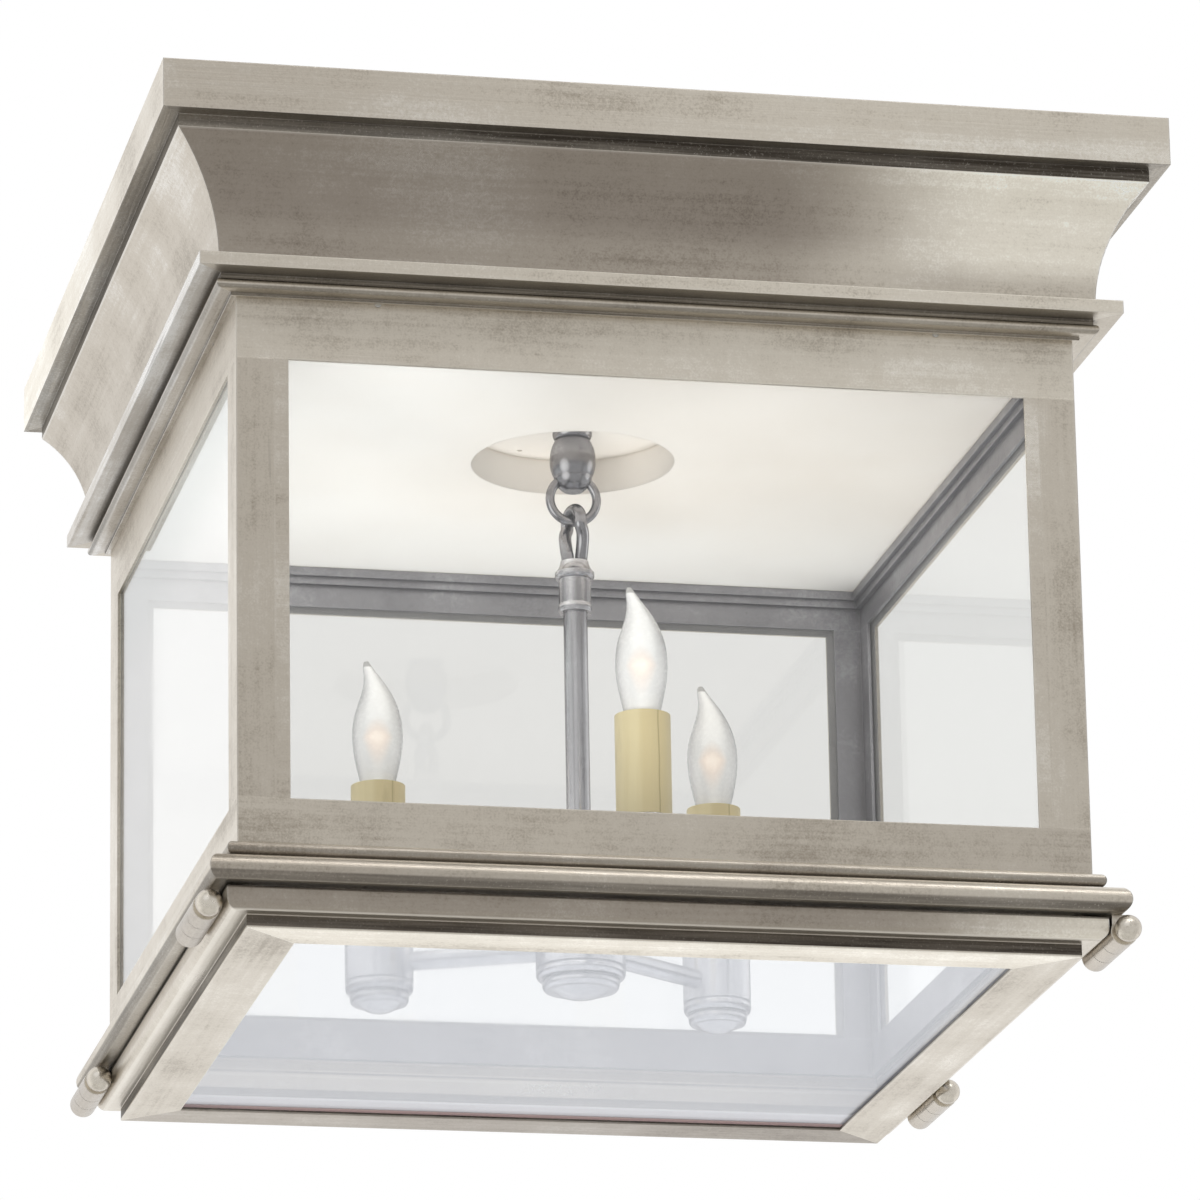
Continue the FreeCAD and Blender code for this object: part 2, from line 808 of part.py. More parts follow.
def pan_screw(name, turn, sign):
    """Screw that holds the pan's upturned edge to a face frame, its head inside."""
    body = new_body(name)
    face = f"({pan_half} - pan_sheet)"
    for radius, start, length in (
        ("screw_head_radius", f"({face} - screw_head_height)", "screw_head_height"),
        ("screw_radius", face, f"({body_half} - {face})"),
    ):
        sketch = new_sketch(body, "XZ_Plane", start)
        add_circle(sketch, f"{sign}screw_spread", f"-{pan_screw_drop}", radius)
        pad(body, sketch, length)
    turn_about_center(body, turn)
    return body


def holder_cap():
    """Flanged cap between the pan's recess and the loop holder."""
    return turned("holder_cap", [
        (thread_hole, holder_drop),
        ("cap_radius", holder_drop, nose("cap_height", "cap_nose")),
        ("cap_radius", recess_drop),
        (thread_hole, recess_drop),
    ])


def loop_holder():
    """Turned acorn on the nipple, with the curved cross hole that the ring runs in."""
    outline = [("0", holder_end)]
    for radius, height, bend in holder_shares:
        corner = (f"(holder_radius * {radius})", f"({holder_end} - holder_length * {height})")
        outline.append(corner + ((f"(holder_radius * {bend})",) if bend else ()))
    outline += [
        (thread_hole, holder_drop),
        (thread_hole, f"({holder_drop} + nipple_seat)"),
        ("0", f"({holder_drop} + nipple_seat)"),
    ]
    blank = turned("loop_holder_blank", outline)
    hole = doc.addObject("Part::Torus", "loop_holder_hole")
    hole.setExpression("Radius1", bound("ring_radius"))
    hole.setExpression("Radius2", bound("ring_wire + ring_clearance"))
    stand_ring(hole)
    holder = doc.addObject("Part::Cut", "loop_holder_cut")
    holder.Base = blank
    holder.Tool = hole
    return holder


def stand_ring(torus):
    """Stand a torus upright, facing the front, where the ring hangs."""
    torus.Placement = FreeCAD.Placement(
        FreeCAD.Vector(), FreeCAD.Rotation(FreeCAD.Vector(1, 0, 0), 90)
    )
    torus.setExpression("Placement.Base.z", bound(f"-{ring_drop}"))


def hanging_ring():
    """Plain round ring through the loop holder."""
    ring = doc.addObject("Part::Torus", "hanging_ring_torus")
    ring.setExpression("Radius1", bound("ring_radius"))
    ring.setExpression("Radius2", bound("ring_wire"))
    stand_ring(ring)
    return ring


def hook():
    """Wire bent over the ring whose two legs twist towards the sides and into the collar."""
    up = FreeCAD.Vector(0, 0, 1)
    top, foot = -value(hook_drop), -value(collar_drop)
    shoulder = top - value("hook_shank")
    bend, closing = value("hook_bend"), value("hook_spread - hook_bend")
    start, twist = value("hook_angle"), value("hook_foot_angle - hook_angle")
    front_leg = []
    for depth, change in hook_leg_shares:
        place = FreeCAD.Vector(0, -bend - closing * change, shoulder + (foot - shoulder) * depth)
        front_leg.append(FreeCAD.Rotation(up, start + twist * change).multVec(place))
    back_leg = [FreeCAD.Vector(-point.x, -point.y, point.z) for point in front_leg]
    spoke = FreeCAD.Rotation(up, start).multVec(FreeCAD.Vector(0, -bend, 0))
    arch = []
    for step in range(hook_arch_steps + 1):
        over = FreeCAD.Rotation(spoke.cross(up), half_turn_angle * step / hook_arch_steps)
        arch.append(over.multVec(spoke).add(FreeCAD.Vector(0, 0, top)))
    curve = Part.BSplineCurve()
    curve.interpolate(front_leg[::-1] + arch + back_leg, InitialTangent=up, FinalTangent=up.negative())
    wire = Part.Wire([curve.toShape()])
    round_section = Part.Wire([Part.Circle(front_leg[-1], up, value("hook_wire")).toShape()])
    piece = doc.addObject("Part::Feature", "hook_wire_shape")
    piece.Shape = wire.makePipeShell([round_section], True, False, 2)
    return piece


def stem_collar():
    """Flared collar that the hook's legs are fixed to."""
    rim = f"({coupling_drop} - collar_rim)"
    flare = "(collar_radius - collar_rim)"
    return turned("stem_collar", [
        ("0", coupling_drop),
        (flare, coupling_drop, "collar_rim"),
        ("collar_radius", rim),
        ("collar_radius", f"({rim} - collar_rim)", "-collar_height"),
        ("collar_neck", collar_drop),
        ("0", collar_drop),
    ])


def stem_coupling():
    """Sleeve with a small ring at its mouth that the stem is seated in."""
    mouth = f"({coupling_drop} + coupling_height)"
    ring = f"({mouth} - coupling_ring_height)"
    return turned("stem_coupling", [
        (stem_hole, mouth),
        ("coupling_radius", mouth, nose("coupling_ring_height", "coupling_ring")),
        ("coupling_radius", ring),
        ("coupling_radius", coupling_drop),
        ("0", coupling_drop),
        ("0", stem_drop),
        (stem_hole, stem_drop),
    ])


def stem_tube():
    """Tube from the coupling down into the centre body."""
    return turned("stem_tube", [
        ("stem_bore", stem_end_drop),
        ("stem_radius", stem_end_drop),
        ("stem_radius", stem_drop),
        ("stem_bore", stem_drop),
    ])


def center_body():
    """Round hollow body with a shouldered top and three side holes for the arms."""
    inner = "(center_radius - center_wall)"
    body = turned("center_body", [
        (inner, cluster_drop),
        ("center_radius", cluster_drop),
        ("center_radius", f"({center_drop} + center_shoulder)", "center_shoulder"),
        (shoulder_half, center_drop),
        (stem_hole, center_drop),
        (stem_hole, f"({center_drop} + center_wall)"),
        (shoulder_half, f"({center_drop} + center_wall)", "-(center_shoulder - center_wall)"),
        (inner, f"({center_drop} + center_shoulder)"),
    ])
    sketch = new_sketch(body, "YZ_Plane")
    add_circle(sketch, "0", f"-{arm_drop}", "(arm_radius + socket_fit)")
    hole = pocket(body, sketch, side="One side", reverse=True)
    pattern = body.newObject("PartDesign::PolarPattern", "center_body_holes")
    pattern.Originals = [hole]
    pattern.Axis = (sketch, ["V_Axis"])
    pattern.Angle = 360
    pattern.Occurrences = len(light_angles)
    body.Tip = pattern
    turn_about_center(body, value("light_angle"))
    return body


def plug(name, cup_size, spigot=None):
    """Stepped plug with a low dome, screwed up into the bottom of a cup."""
    nose_size = f"({cup_size} * {plug_nose_share})"
    dome = f"({cup_size} * {plug_dome_radius_share})"
    levels = [f"({finial_end} - finial_height * {height})" for _, height in plug_step_shares]
    dome_rise = f"({finial_end} - {levels[0]})"
    corners = [("0", finial_end, f"(({dome}^2 + {dome_rise}^2) / (2 * {dome_rise}))"), (dome, levels[0])]
    tops = levels[1:] + [cluster_drop]
    for (share, _), low, high in zip(plug_step_shares, levels, tops):
        radius = f"({cup_size} * {share})"
        corners += [(radius, low, nose(f"({low} - {high})", nose_size)), (radius, high)]
    if spigot:
        corners += [(spigot, cluster_drop), (spigot, f"({cluster_drop} - center_wall)")]
        corners += [("0", f"({cluster_drop} - center_wall)")]
    else:
        corners += [("0", cluster_drop)]
    return turned(name, corners)


def arm(name, turn):
    """Tube from the centre body out to one light cup."""
    body = new_body(name)
    start = "(center_radius - center_wall - arm_entry)"
    end = "(light_radius - cup_bore - arm_entry)"
    sketch = new_sketch(body, "YZ_Plane", start)
    add_circle(sketch, "0", f"-{arm_drop}", "arm_radius")
    add_circle(sketch, "0", f"-{arm_drop}", "(arm_radius - arm_wall)")
    pad(body, sketch, f"({end} - {start})")
    turn_about_center(body, turn)
    return body


def socket_cup(name):
    """Turned cup with a seat for the candle sleeve and a side hole for its arm."""
    body = turned(name, [
        ("0", cluster_drop),
        ("cup_radius", cluster_drop),
        ("cup_radius", f"({cup_drop} + cup_lip)", "cup_lip"),
        ("(cup_radius - cup_lip)", cup_drop),
        ("(sleeve_radius + sleeve_fit)", cup_drop),
        ("(sleeve_radius + sleeve_fit)", seat_drop),
        ("cup_bore", seat_drop),
        ("cup_bore", f"({cluster_drop} - cup_floor)"),
        ("0", f"({cluster_drop} - cup_floor)"),
    ])
    sketch = new_sketch(body, "YZ_Plane")
    add_circle(sketch, "0", f"-{arm_drop}", "(arm_radius + socket_fit)")
    pocket(body, sketch, side="One side")
    return body


def lamp_socket(name):
    """Lamp holder that stands in the cup inside the sleeve."""
    return turned(name, [
        ("0", seat_drop),
        ("socket_radius", seat_drop),
        ("socket_radius", socket_drop),
        ("socket_bore", socket_drop),
        ("socket_bore", f"({socket_drop} + socket_depth)"),
        ("0", f"({socket_drop} + socket_depth)"),
    ])


def candle_sleeve(name):
    """Plain sleeve around the lamp holder."""
    return turned(name, [
        ("(sleeve_radius - sleeve_wall)", seat_drop),
        ("sleeve_radius", seat_drop),
        ("sleeve_radius", sleeve_drop),
        ("(sleeve_radius - sleeve_wall)", sleeve_drop),
    ])


def bulb_cap(name):
    """Screw cap of a bulb with its round contact."""
    cap_end = f"({bulb_drop} + bulb_cap_length)"
    contact_end = f"({cap_end} + bulb_contact_length)"
    return turned(name, [
        ("0", contact_end),
        ("bulb_contact_radius", contact_end),
        ("bulb_contact_radius", cap_end),
        ("bulb_cap_radius", cap_end),
        ("bulb_cap_radius", bulb_drop),
        ("0", bulb_drop),
    ])


def bulb_glass(name):
    """Bent-tip bulb through round sections that lean to the left near the tip."""
    rings = []
    for height, radius, lean in bulb_shares:
        ring = doc.addObject("Part::Circle", name + "_ring")
        ring.setExpression("Radius", bound(f"bulb_radius * {radius}"))
        ring.setExpression("Placement.Base.x", bound(f"-bulb_lean * {lean}"))
        ring.setExpression("Placement.Base.z", bound(f"bulb_length * {height} - {bulb_drop}"))
        rings.append(ring)
    loft = doc.addObject("Part::Loft", name + "_loft")
    loft.Sections = rings
    loft.Solid = True
    loft.Ruled = False
    return loft


def move_to_light(piece, turn, upright=False):
    """Carry a piece from the centre to a light, turned to face its arm unless upright."""
    degrees = value("light_angle") + turn
    spin = FreeCAD.Rotation(FreeCAD.Vector(0, 0, 1), degrees)
    offset = spin.multVec(FreeCAD.Vector(value("light_radius"), 0, 0))
    piece.Placement = FreeCAD.Placement(offset, FreeCAD.Rotation() if upright else spin)
    return piece


def knuckle(name, leg, slot=False):
    """Hinge knuckle about its own centre, with a leg and, on a clip, a mouth at the top."""
    body = new_body(name)
    for shape in ("barrel", "leg", "bore"):
        sketch = new_sketch(body, "XZ_Plane")
        if shape == "leg":
            add_outline(sketch, leg)
        else:
            add_circle(sketch, "0", "0", "barrel_radius" if shape == "barrel" else pin_hole)
        if shape == "bore":
            pocket(body, sketch)
        else:
            pad(body, sketch, "knuckle_length", "Symmetric")
    if slot:
        half = "(pin_radius + clip_clearance)"
        sketch = new_sketch(body, "XZ_Plane")
        add_outline(sketch, [
            (f"-{half}", "0"),
            (half, "0"),
            (half, "(barrel_radius + overrun)"),
            (f"-{half}", "(barrel_radius + overrun)"),
        ])
        pocket(body, sketch)
    return body


def base_leg():
    """Leg from a fixed knuckle up to the underside of the base moulding."""
    top = "(barrel_headroom + barrel_radius)"
    return [("-leg_outer", "0"), ("leg_inner", "0"), ("leg_inner", top), ("-leg_outer", top)]


def door_leg():
    """Leg from a door knuckle in to the flat face of the door's rail."""
    reach = "(barrel_gap + barrel_radius)"
    low = f"({hinge_drop} - ({tray_drop} - door_corner))"
    high = f"({low} + tab_height)"
    return [("pin_radius", low), (reach, low), (reach, high), ("pin_radius", high)]


# The side that each hinge is on, and where its front end lies along that side
hinge_span = value("3 * knuckle_length + 2 * knuckle_gap")
hinge_places = {
    "front_left": (-1, value(f"hinge_inset - {body_half}")),
    "front_right": (1, value(f"-{door_half}")),
    "back_left": (-1, value(door_half) - hinge_span),
    "back_right": (1, value(f"{body_half} - hinge_setback") - hinge_span),
}


def place_knuckle(piece, side, start, step):
    """Set one knuckle on its hinge line, turned so that its leg points at the door."""
    pitch = value("knuckle_length + knuckle_gap")
    middle = start + value("knuckle_length / 2") + step * pitch
    spin = FreeCAD.Rotation(FreeCAD.Vector(0, 0, 1), 180 if side > 0 else 0)
    place = FreeCAD.Vector(side * value(hinge_reach), middle, -value(hinge_drop))
    piece.Placement = FreeCAD.Placement(place, spin)
    return piece


def hinge_pin(name, side, start):
    """Pin with a ball at its front end, lying along one hinge line."""
    ball_center = "(3 * knuckle_length + 2 * knuckle_gap + ball_gap + ball_radius)"
    ball_start = f"({ball_center} - sqrt(ball_radius^2 - pin_radius^2))"
    body = new_body(name)
    sketch = new_sketch(body, "XZ_Plane")
    add_outline(sketch, [
        ("0", "0"),
        ("(pin_radius - pin_chamfer)", "0"),
        ("pin_radius", "pin_chamfer"),
        ("pin_radius", ball_start, "ball_radius"),
        ("0", f"({ball_center} + ball_radius)"),
    ])
    revolve(body, sketch)
    place = FreeCAD.Vector(side * value(hinge_reach), start + hinge_span, -value(hinge_drop))
    body.Placement = FreeCAD.Placement(place, FreeCAD.Rotation(FreeCAD.Vector(1, 0, 0), 90))
    return body


def build_mounting():
    """Strap, nipple, nuts, pan and pan screws."""
    keep("mounting_crossbar", crossbar())
    keep("center_nipple", nipple())
    upper = nut("nut_upper", "crossbar_thickness")
    lower = nut("nut_lower", f"({recess_drop} - pan_sheet - nut_thickness)")
    keep("nipple_nuts", group("nipple_nuts_group", [upper, lower]))
    keep("ceiling_pan", ceiling_pan())
    screws = [
        pan_screw(f"pan_screw_{side}_{hand}", turn, sign)
        for side, turn in side_angles.items()
        for hand, sign in (("one", ""), ("two", "-"))
    ]
    keep("pan_screws", group("pan_screws_group", screws))


def build_shell():
    """Crown, neck, frames, panes, strips and base."""
    for make, name in ((crown, "crown"), (neck, "neck"), (face_frame, "face_frame"),
                       (side_glass, "side_glass"), (base, "base")):
        for side, turn in side_angles.items():
            keep(f"{name}_{side}", make(side, turn))
    for make, name in ((corner_post, "corner_posts"), (top_retainer, "top_retainers"),
                       (bottom_retainer, "bottom_retainers")):
        keep(name, group(name + "_group", [make(side, turn) for side, turn in side_angles.items()]))


def build_door():
    """Door rails, pane, stops, knuckles and pins, and the knuckles on the base."""
    for side, turn in side_angles.items():
        keep(f"door_rail_{side}", door_rail(side, turn))
    keep("door_glass", door_glass())
    stops = [door_stop(side, turn) for side, turn in side_angles.items()]
    keep("door_glass_stops", group("door_glass_stops_group", stops))
    fixed, moving = [], []
    for place, (side, start) in hinge_places.items():
        for step in (0, 2):
            piece = knuckle(f"base_knuckle_{place}_{step}", base_leg())
            fixed.append(place_knuckle(piece, side, start, step))
        piece = knuckle(f"door_knuckle_{place}", door_leg(), slot=side > 0)
        moving.append(place_knuckle(piece, side, start, 1))
        keep(f"hinge_pin_{place}", hinge_pin(f"hinge_pin_{place}", side, start))
    keep("base_knuckles", group("base_knuckles_group", fixed))
    keep("door_knuckles", group("door_knuckles_group", moving))


def build_cluster():
    """Loop holder, ring, hook, stem, centre body, arms, cups, sleeves and bulbs."""
    keep("holder_cap", holder_cap())
    keep("loop_holder", loop_holder())
    keep("hanging_ring", hanging_ring())
    keep("hook", hook())
    keep("stem_collar", stem_collar())
    keep("stem_coupling", stem_coupling())
    keep("stem_tube", stem_tube())
    keep("center_body", center_body())
    spigot = "(center_radius - center_wall - pin_clearance)"
    keep("center_finial", plug("center_finial", "center_radius", spigot))
    arms = [arm(f"arm_{name}", value("light_angle") + turn) for name, turn in light_angles.items()]
    keep("cluster_arms", group("cluster_arms_group", arms))
    for make, name in ((socket_cup, "socket_cups"), (lamp_socket, "lamp_sockets"),
                       (candle_sleeve, "candle_sleeves")):
        pieces = [move_to_light(make(f"{name}_{light}"), turn) for light, turn in light_angles.items()]
        keep(name, group(name + "_group", pieces))
    plugs = [
        move_to_light(plug(f"cup_finial_{light}", "cup_radius"), turn)
        for light, turn in light_angles.items()
    ]
    keep("cup_finials", group("cup_finials_group", plugs))
    for light, turn in light_angles.items():
        keep(f"bulb_cap_{light}", move_to_light(bulb_cap(f"bulb_cap_{light}"), turn))
        keep(f"bulb_glass_{light}", move_to_light(bulb_glass(f"bulb_glass_{light}"), turn, upright=True))


build_mounting()
build_shell()
build_door()
build_cluster()
doc.recompute()

# Nothing is written unless every object and every sub-part is sound
for item in doc.Objects:
    if "Invalid" in item.State or "Error" in item.State:
        raise RuntimeError(f"{item.Label} failed: {item.State}")
for name, piece in nodes.items():
    if piece.Shape.isNull() or not piece.Shape.isValid() or not piece.Shape.Solids:
        raise RuntimeError(f"{name} has no sound solid")

os.makedirs("parts", exist_ok=True)
for name, piece in nodes.items():
    piece.Shape.exportStep(os.path.join("parts", name + ".step"))
    print(name, len(piece.Shape.Solids), round(piece.Shape.Volume, 1))
print("sub-parts:", len(nodes))
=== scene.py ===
import math

import bpy
from mathutils import Matrix, Vector


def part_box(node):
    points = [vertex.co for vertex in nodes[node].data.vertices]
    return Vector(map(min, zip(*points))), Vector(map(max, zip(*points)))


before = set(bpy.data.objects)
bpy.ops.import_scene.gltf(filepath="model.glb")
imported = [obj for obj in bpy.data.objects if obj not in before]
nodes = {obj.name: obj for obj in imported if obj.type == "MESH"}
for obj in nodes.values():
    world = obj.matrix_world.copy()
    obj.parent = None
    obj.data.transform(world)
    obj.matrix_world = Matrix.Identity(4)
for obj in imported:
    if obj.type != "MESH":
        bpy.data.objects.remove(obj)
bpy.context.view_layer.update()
scene = bpy.context.scene
sideNames = ["front", "right", "back", "left"]
lightNames = ["left", "front", "right"]
print("frame loaded:", len(nodes), "nodes")


# camera

cameraLook = {
    "place": (-0.6412, -3.0087, -1.1020),  # metres, from the fit to the mouldings
    "yaw": 12.24,  # degrees towards +X
    "pitch": 17.038,  # degrees up
    "roll": -1.03,  # degrees
    "lens": 219.0,  # mm
    "sensor": 36.0,  # mm
    "farthest": 50.0,  # metres
}


def makeCamera(look):
    # ahead = (sin yaw cos pitch, cos yaw cos pitch, sin pitch); right and up turn about it by the roll
    yaw, pitch, roll = (math.radians(look[k]) for k in ("yaw", "pitch", "roll"))
    ahead = Vector((math.sin(yaw) * math.cos(pitch), math.cos(yaw) * math.cos(pitch), math.sin(pitch)))
    right = Vector((math.cos(yaw), -math.sin(yaw), 0))
    up = right.cross(ahead)
    rightRolled = right * math.cos(roll) + up * math.sin(roll)
    upRolled = up * math.cos(roll) - right * math.sin(roll)
    turn = Matrix((rightRolled, upRolled, -ahead)).transposed()
    data = bpy.data.cameras.new("camera")
    data.lens = look["lens"]
    data.sensor_width = look["sensor"]
    data.clip_end = look["farthest"]
    camera = bpy.data.objects.new("camera", data)
    camera.matrix_world = Matrix.Translation(look["place"]) @ turn.to_4x4()
    scene.collection.objects.link(camera)
    scene.camera = camera


makeCamera(cameraLook)
print("camera placed")


# node helpers

nodesInRow = 12
nodeStep = (180, -220)  # spacing in the node editor
roundSamples = 4  # rays that find the edges near a point
evenWeight = 0.5  # layer weight at which facing falls off evenly
colorSockets = {"share": 0, "from": 6, "to": 7, "result": 2}  # of a mix node that mixes colours


class NodeTree:
    # thin wrapper that places nodes and joins sockets by name
    def __init__(self, tree):
        self.tree = tree
        self.count = 0

    def node(self, kind, **values):
        made = self.tree.nodes.new(kind)
        made.location = (nodeStep[0] * (self.count % nodesInRow), nodeStep[1] * (self.count // nodesInRow))
        self.count += 1
        for key, value in values.items():
            setattr(made, key, value)
        return made

    def put(self, made, socket, value):
        target = made.inputs[socket]
        if isinstance(value, bpy.types.NodeSocket):
            self.tree.links.new(value, target)
        else:
            target.default_value = value

    def math(self, operation, a, b=0.0, clamp=False):
        made = self.node("ShaderNodeMath", operation=operation, use_clamp=clamp)
        self.put(made, 0, a)
        self.put(made, 1, b)
        return made.outputs[0]

    def plus(self, a, b, clamp=False):
        return self.math("ADD", a, b, clamp)

    def minus(self, a, b):
        return self.math("SUBTRACT", a, b)

    def times(self, a, b, clamp=False):
        return self.math("MULTIPLY", a, b, clamp)

    def distance(self, a, b):
        # |a - b|
        return self.math("ABSOLUTE", self.minus(a, b))

    def blend(self, parts, start=None):
        # start + value * share, summed over the parts
        total = start
        for value, share in parts:
            part = self.times(value, share)
            total = part if total is None else self.plus(total, part)
        return total

    def vector(self, operation, a, b, output=0):
        made = self.node("ShaderNodeVectorMath", operation=operation)
        self.put(made, 0, a)
        self.put(made, 1, b)
        return made.outputs[output]

    def dot(self, a, b):
        return self.vector("DOT_PRODUCT", a, b, 1)

    def ramp(self, fac, low, high, toLow=0.0, toHigh=1.0):
        # smooth step from toLow at low to toHigh at high
        made = self.node("ShaderNodeMapRange", interpolation_type="SMOOTHSTEP")
        for index, value in enumerate((fac, low, high, toLow, toHigh)):
            self.put(made, index, value)
        return made.outputs[0]

    def mix(self, fac, a, b):
        # a * (1 - fac) + b * fac
        made = self.node("ShaderNodeMix", data_type="RGBA")
        for socket, value in (("share", fac), ("from", a), ("to", b)):
            self.put(made, colorSockets[socket], value)
        return made.outputs[colorSockets["result"]]

    def noise(self, vector, scale, detail, roughness):
        made = self.node("ShaderNodeTexNoise")
        self.put(made, "Vector", vector)
        self.put(made, "Scale", scale)
        self.put(made, "Detail", detail)
        self.put(made, "Roughness", roughness)
        return made.outputs[0]

    def pattern(self, vector, values, toLow=0.0, toHigh=1.0):
        # noise of a scale, detail and roughness, stretched between the last two values
        scale, detail, roughness, low, high = values
        return self.ramp(self.noise(vector, scale, detail, roughness), low, high, toLow, toHigh)

    def place(self):
        # metres in the shared frame, because a node's object sits at the origin
        return self.node("ShaderNodeTexCoord").outputs["Object"]

    def normal(self):
        return self.node("ShaderNodeNewGeometry").outputs["Normal"]

    def split(self, vector):
        made = self.node("ShaderNodeSeparateXYZ")
        self.put(made, 0, vector)
        return made.outputs

    def hollow(self, reach, samples, **values):
        # 1 in the open, towards 0 where other faces close in within the reach
        made = self.node("ShaderNodeAmbientOcclusion", samples=samples, **values)
        self.put(made, "Distance", reach)
        return made.outputs["AO"]

    def rounded(self, radius):
        # normal that turns smoothly round each edge within the radius
        made = self.node("ShaderNodeBevel", samples=roundSamples)
        self.put(made, "Radius", radius)
        return made.outputs[0]

    def turned(self):
        # 0 where the surface faces the eye, 1 at its outline
        made = self.node("ShaderNodeLayerWeight")
        self.put(made, "Blend", evenWeight)
        return made.outputs["Facing"]


def newMaterial(name):
    # a material whose surface is one principled shader
    material = bpy.data.materials.new(name)
    material.use_nodes = True
    material.node_tree.nodes.clear()
    tree = NodeTree(material.node_tree)
    output = tree.node("ShaderNodeOutputMaterial")
    shader = tree.node("ShaderNodeBsdfPrincipled")
    tree.put(output, "Surface", shader.outputs[0])
    return material, tree, shader, output


def newGroup(name, inputs, outputs):
    # a node group with named sockets: inputs as kind and first value, outputs as kind
    group = bpy.data.node_groups.new(name, "ShaderNodeTree")
    for socket, (kind, value) in inputs.items():
        made = group.interface.new_socket(socket, in_out="INPUT", socket_type=kind)
        made.default_value = value
    for socket, kind in outputs.items():
        group.interface.new_socket(socket, in_out="OUTPUT", socket_type=kind)
    tree = NodeTree(group)
    return group, tree, tree.node("NodeGroupInput").outputs, tree.node("NodeGroupOutput")


def addRelief(tree, shader, height, strength, depth, rounding=None):
    # normal = the face's own, or the rounded one, tilted by strength * depth * slope of the height
    bump = tree.node("ShaderNodeBump")
    tree.put(bump, "Strength", strength)
    tree.put(bump, "Distance", depth)
    tree.put(bump, "Height", height)
    if rounding is not None:
        tree.put(bump, "Normal", tree.rounded(rounding))
    tree.put(shader, "Normal", bump.outputs[0])


def addLight(tree, shader, color):
    # light that the surface gives off = color * 1
    tree.put(shader, "Emission Color", color)
    tree.put(shader, "Emission Strength", 1.0)


def rgb(r, g, b):
    # linear colour, fully opaque
    return (r, g, b, 1.0)


black = rgb(0, 0, 0)
white = rgb(1, 1, 1)
axisNames = ["x", "y", "z"]
reliefDepth = 0.0003  # metres
fineSpan = (0.3, 0.7)  # values of a fine noise where the roughness starts and ends


def dress(names, material):
    # one material for all the named nodes
    for name in names:
        obj = nodes[name]
        obj.data.materials.clear()
        obj.data.materials.append(material)


def onSides(stem):
    return [f"{stem}_{side}" for side in sideNames]


def foot(piece):
    # height of the piece's lowest point
    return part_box(piece)[0][2]


def outerFace(piece, axis):
    # distance of the piece's outermost face from the middle
    low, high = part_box(piece)
    return max(abs(low[axis]), abs(high[axis]))


def middleOf(piece):
    # middle of the piece's box = (lowest corner + highest corner) / 2
    low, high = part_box(piece)
    return [(a + b) / 2 for a, b in zip(low, high)]


# aged metal

crisp = 0.0003  # metres, half of what a painted border takes to fade
# dark bands: soil in the grooves and joints, and painted shade under the fascia, under the beads and on the
# tray's wall
soilAndShadeBands = [
    # moulding, metres from its foot up to the band's middle, half height, softness, share
    ("crown", 0.05320, 0.00275, 0.0003, 0.86),  # painted shadow under the crown's fascia, with soil
    ("neck", 0.00655, 0.00120, 0.0003, 0.88),  # groove
    ("neck", 0.00200, 0.00070, 0.0006, 0.55),  # painted shade on the underside of the bead
    ("neck", 0.00060, 0.00055, 0.0002, 0.85),  # quirk over the window frame
    ("base", 0.01430, 0.00180, 0.0008, 0.50),  # painted shade under the upper bead
    ("base", 0.01130, 0.00050, 0.0003, 0.80),  # cove
    ("base", 0.00170, 0.00170, 0.0010, 0.70),  # painted shade under the lower bead
    ("base", -0.00140, 0.00060, 0.0005, 0.90),  # gap over the door
    ("door_rail", 0.00305, 0.00225, 0.0002, 0.93),  # painted shade on the wall of the door's tray
]
paintedHighlightLines = [
    # the same for the thin painted highlight lines along the bead tops and rounded corners
    ("crown", 0.05005, 0.00035, 0.0004, 0.70),
    ("neck", 0.00645, 0.00012, 0.0002, 0.35),
    ("neck", 0.00075, 0.00010, 0.0001, 0.30),
    ("base", 0.01690, 0.00035, 0.0004, 0.80),
    ("base", 0.00960, 0.00050, 0.0006, 0.80),
    ("door_rail", 0.00590, 0.00030, 0.0003, 0.85),
]
metalPattern = {
    # noise, here and below: scale, detail, roughness, and in a pattern the values of its darkest and lightest
    "clouds": (11.0, 5.0, 0.60, 0.32, 0.68),
    "blotches": (95.0, 6.0, 0.75, 0.34, 0.66),
    "mottle": (430.0, 3.0, 0.60, 0.30, 0.70),
    "wide": (75.0, 4.0, 0.55, 0.34, 0.66),  # this one and the next three are drawn out along the run
    "drag": (26.0, 5.0, 0.60, 0.34, 0.66),
    "thin": (520.0, 4.0, 0.60, 0.32, 0.68),
    "nicks": (190.0, 2.0, 0.40, 0.74, 0.80),
    "grain": (1100.0, 3.0, 0.70),
    # what each gives to the tone
    "blotchShare": 0.24,
    "mottleShare": 0.36,
    "wideShare": 0.65,
    "dragShare": 0.75,
    "thinShare": 0.40,
    "nickShare": 0.55,
    # soil and painted shade: how far hollows reach in metres, where they start and are full, and how uneven
    # it lies
    "hollowReach": 0.009,
    "hollowSamples": 8,
    "hollowSpan": (0.36, 0.82),
    "soilShadeEven": 0.86,
    "soilShadeWide": 0.42,
    "soilShadeThin": 0.30,
    "speckSpan": (0.60, 0.66),
    "speckShare": 0.30,
    # rubbed edges, lightened also as a painted edge highlight: their reach in metres, and how far the rounded
    # normal leans from the face's own
    "edgeReach": 0.0009,
    "edgeSpan": (0.72, 0.99),
    "lineShare": 0.80,
    "shadePowers": (1.00, 1.07, 1.10),  # a darker shade is a little warmer
    "roughSwing": 0.20,  # roughness lost from the darkest tone to the lightest
    "roughSoilShade": 0.15,  # and gained under full soil and painted shade
    "reliefThin": 0.50,
    "reliefGrain": 0.70,
}


def heightBands(tree, height, bands):
    # share = largest over the bands of share * smooth(1 - (|z - middle| - half) / softness)
    total = None
    for stem, rise, half, soft, share in bands:
        away = tree.distance(height, foot(f"{stem}_front") + rise)
        band = tree.ramp(away, half - soft / 2, half + soft / 2, share, 0.0)
        total = band if total is None else tree.math("MAXIMUM", total, band)
    return total


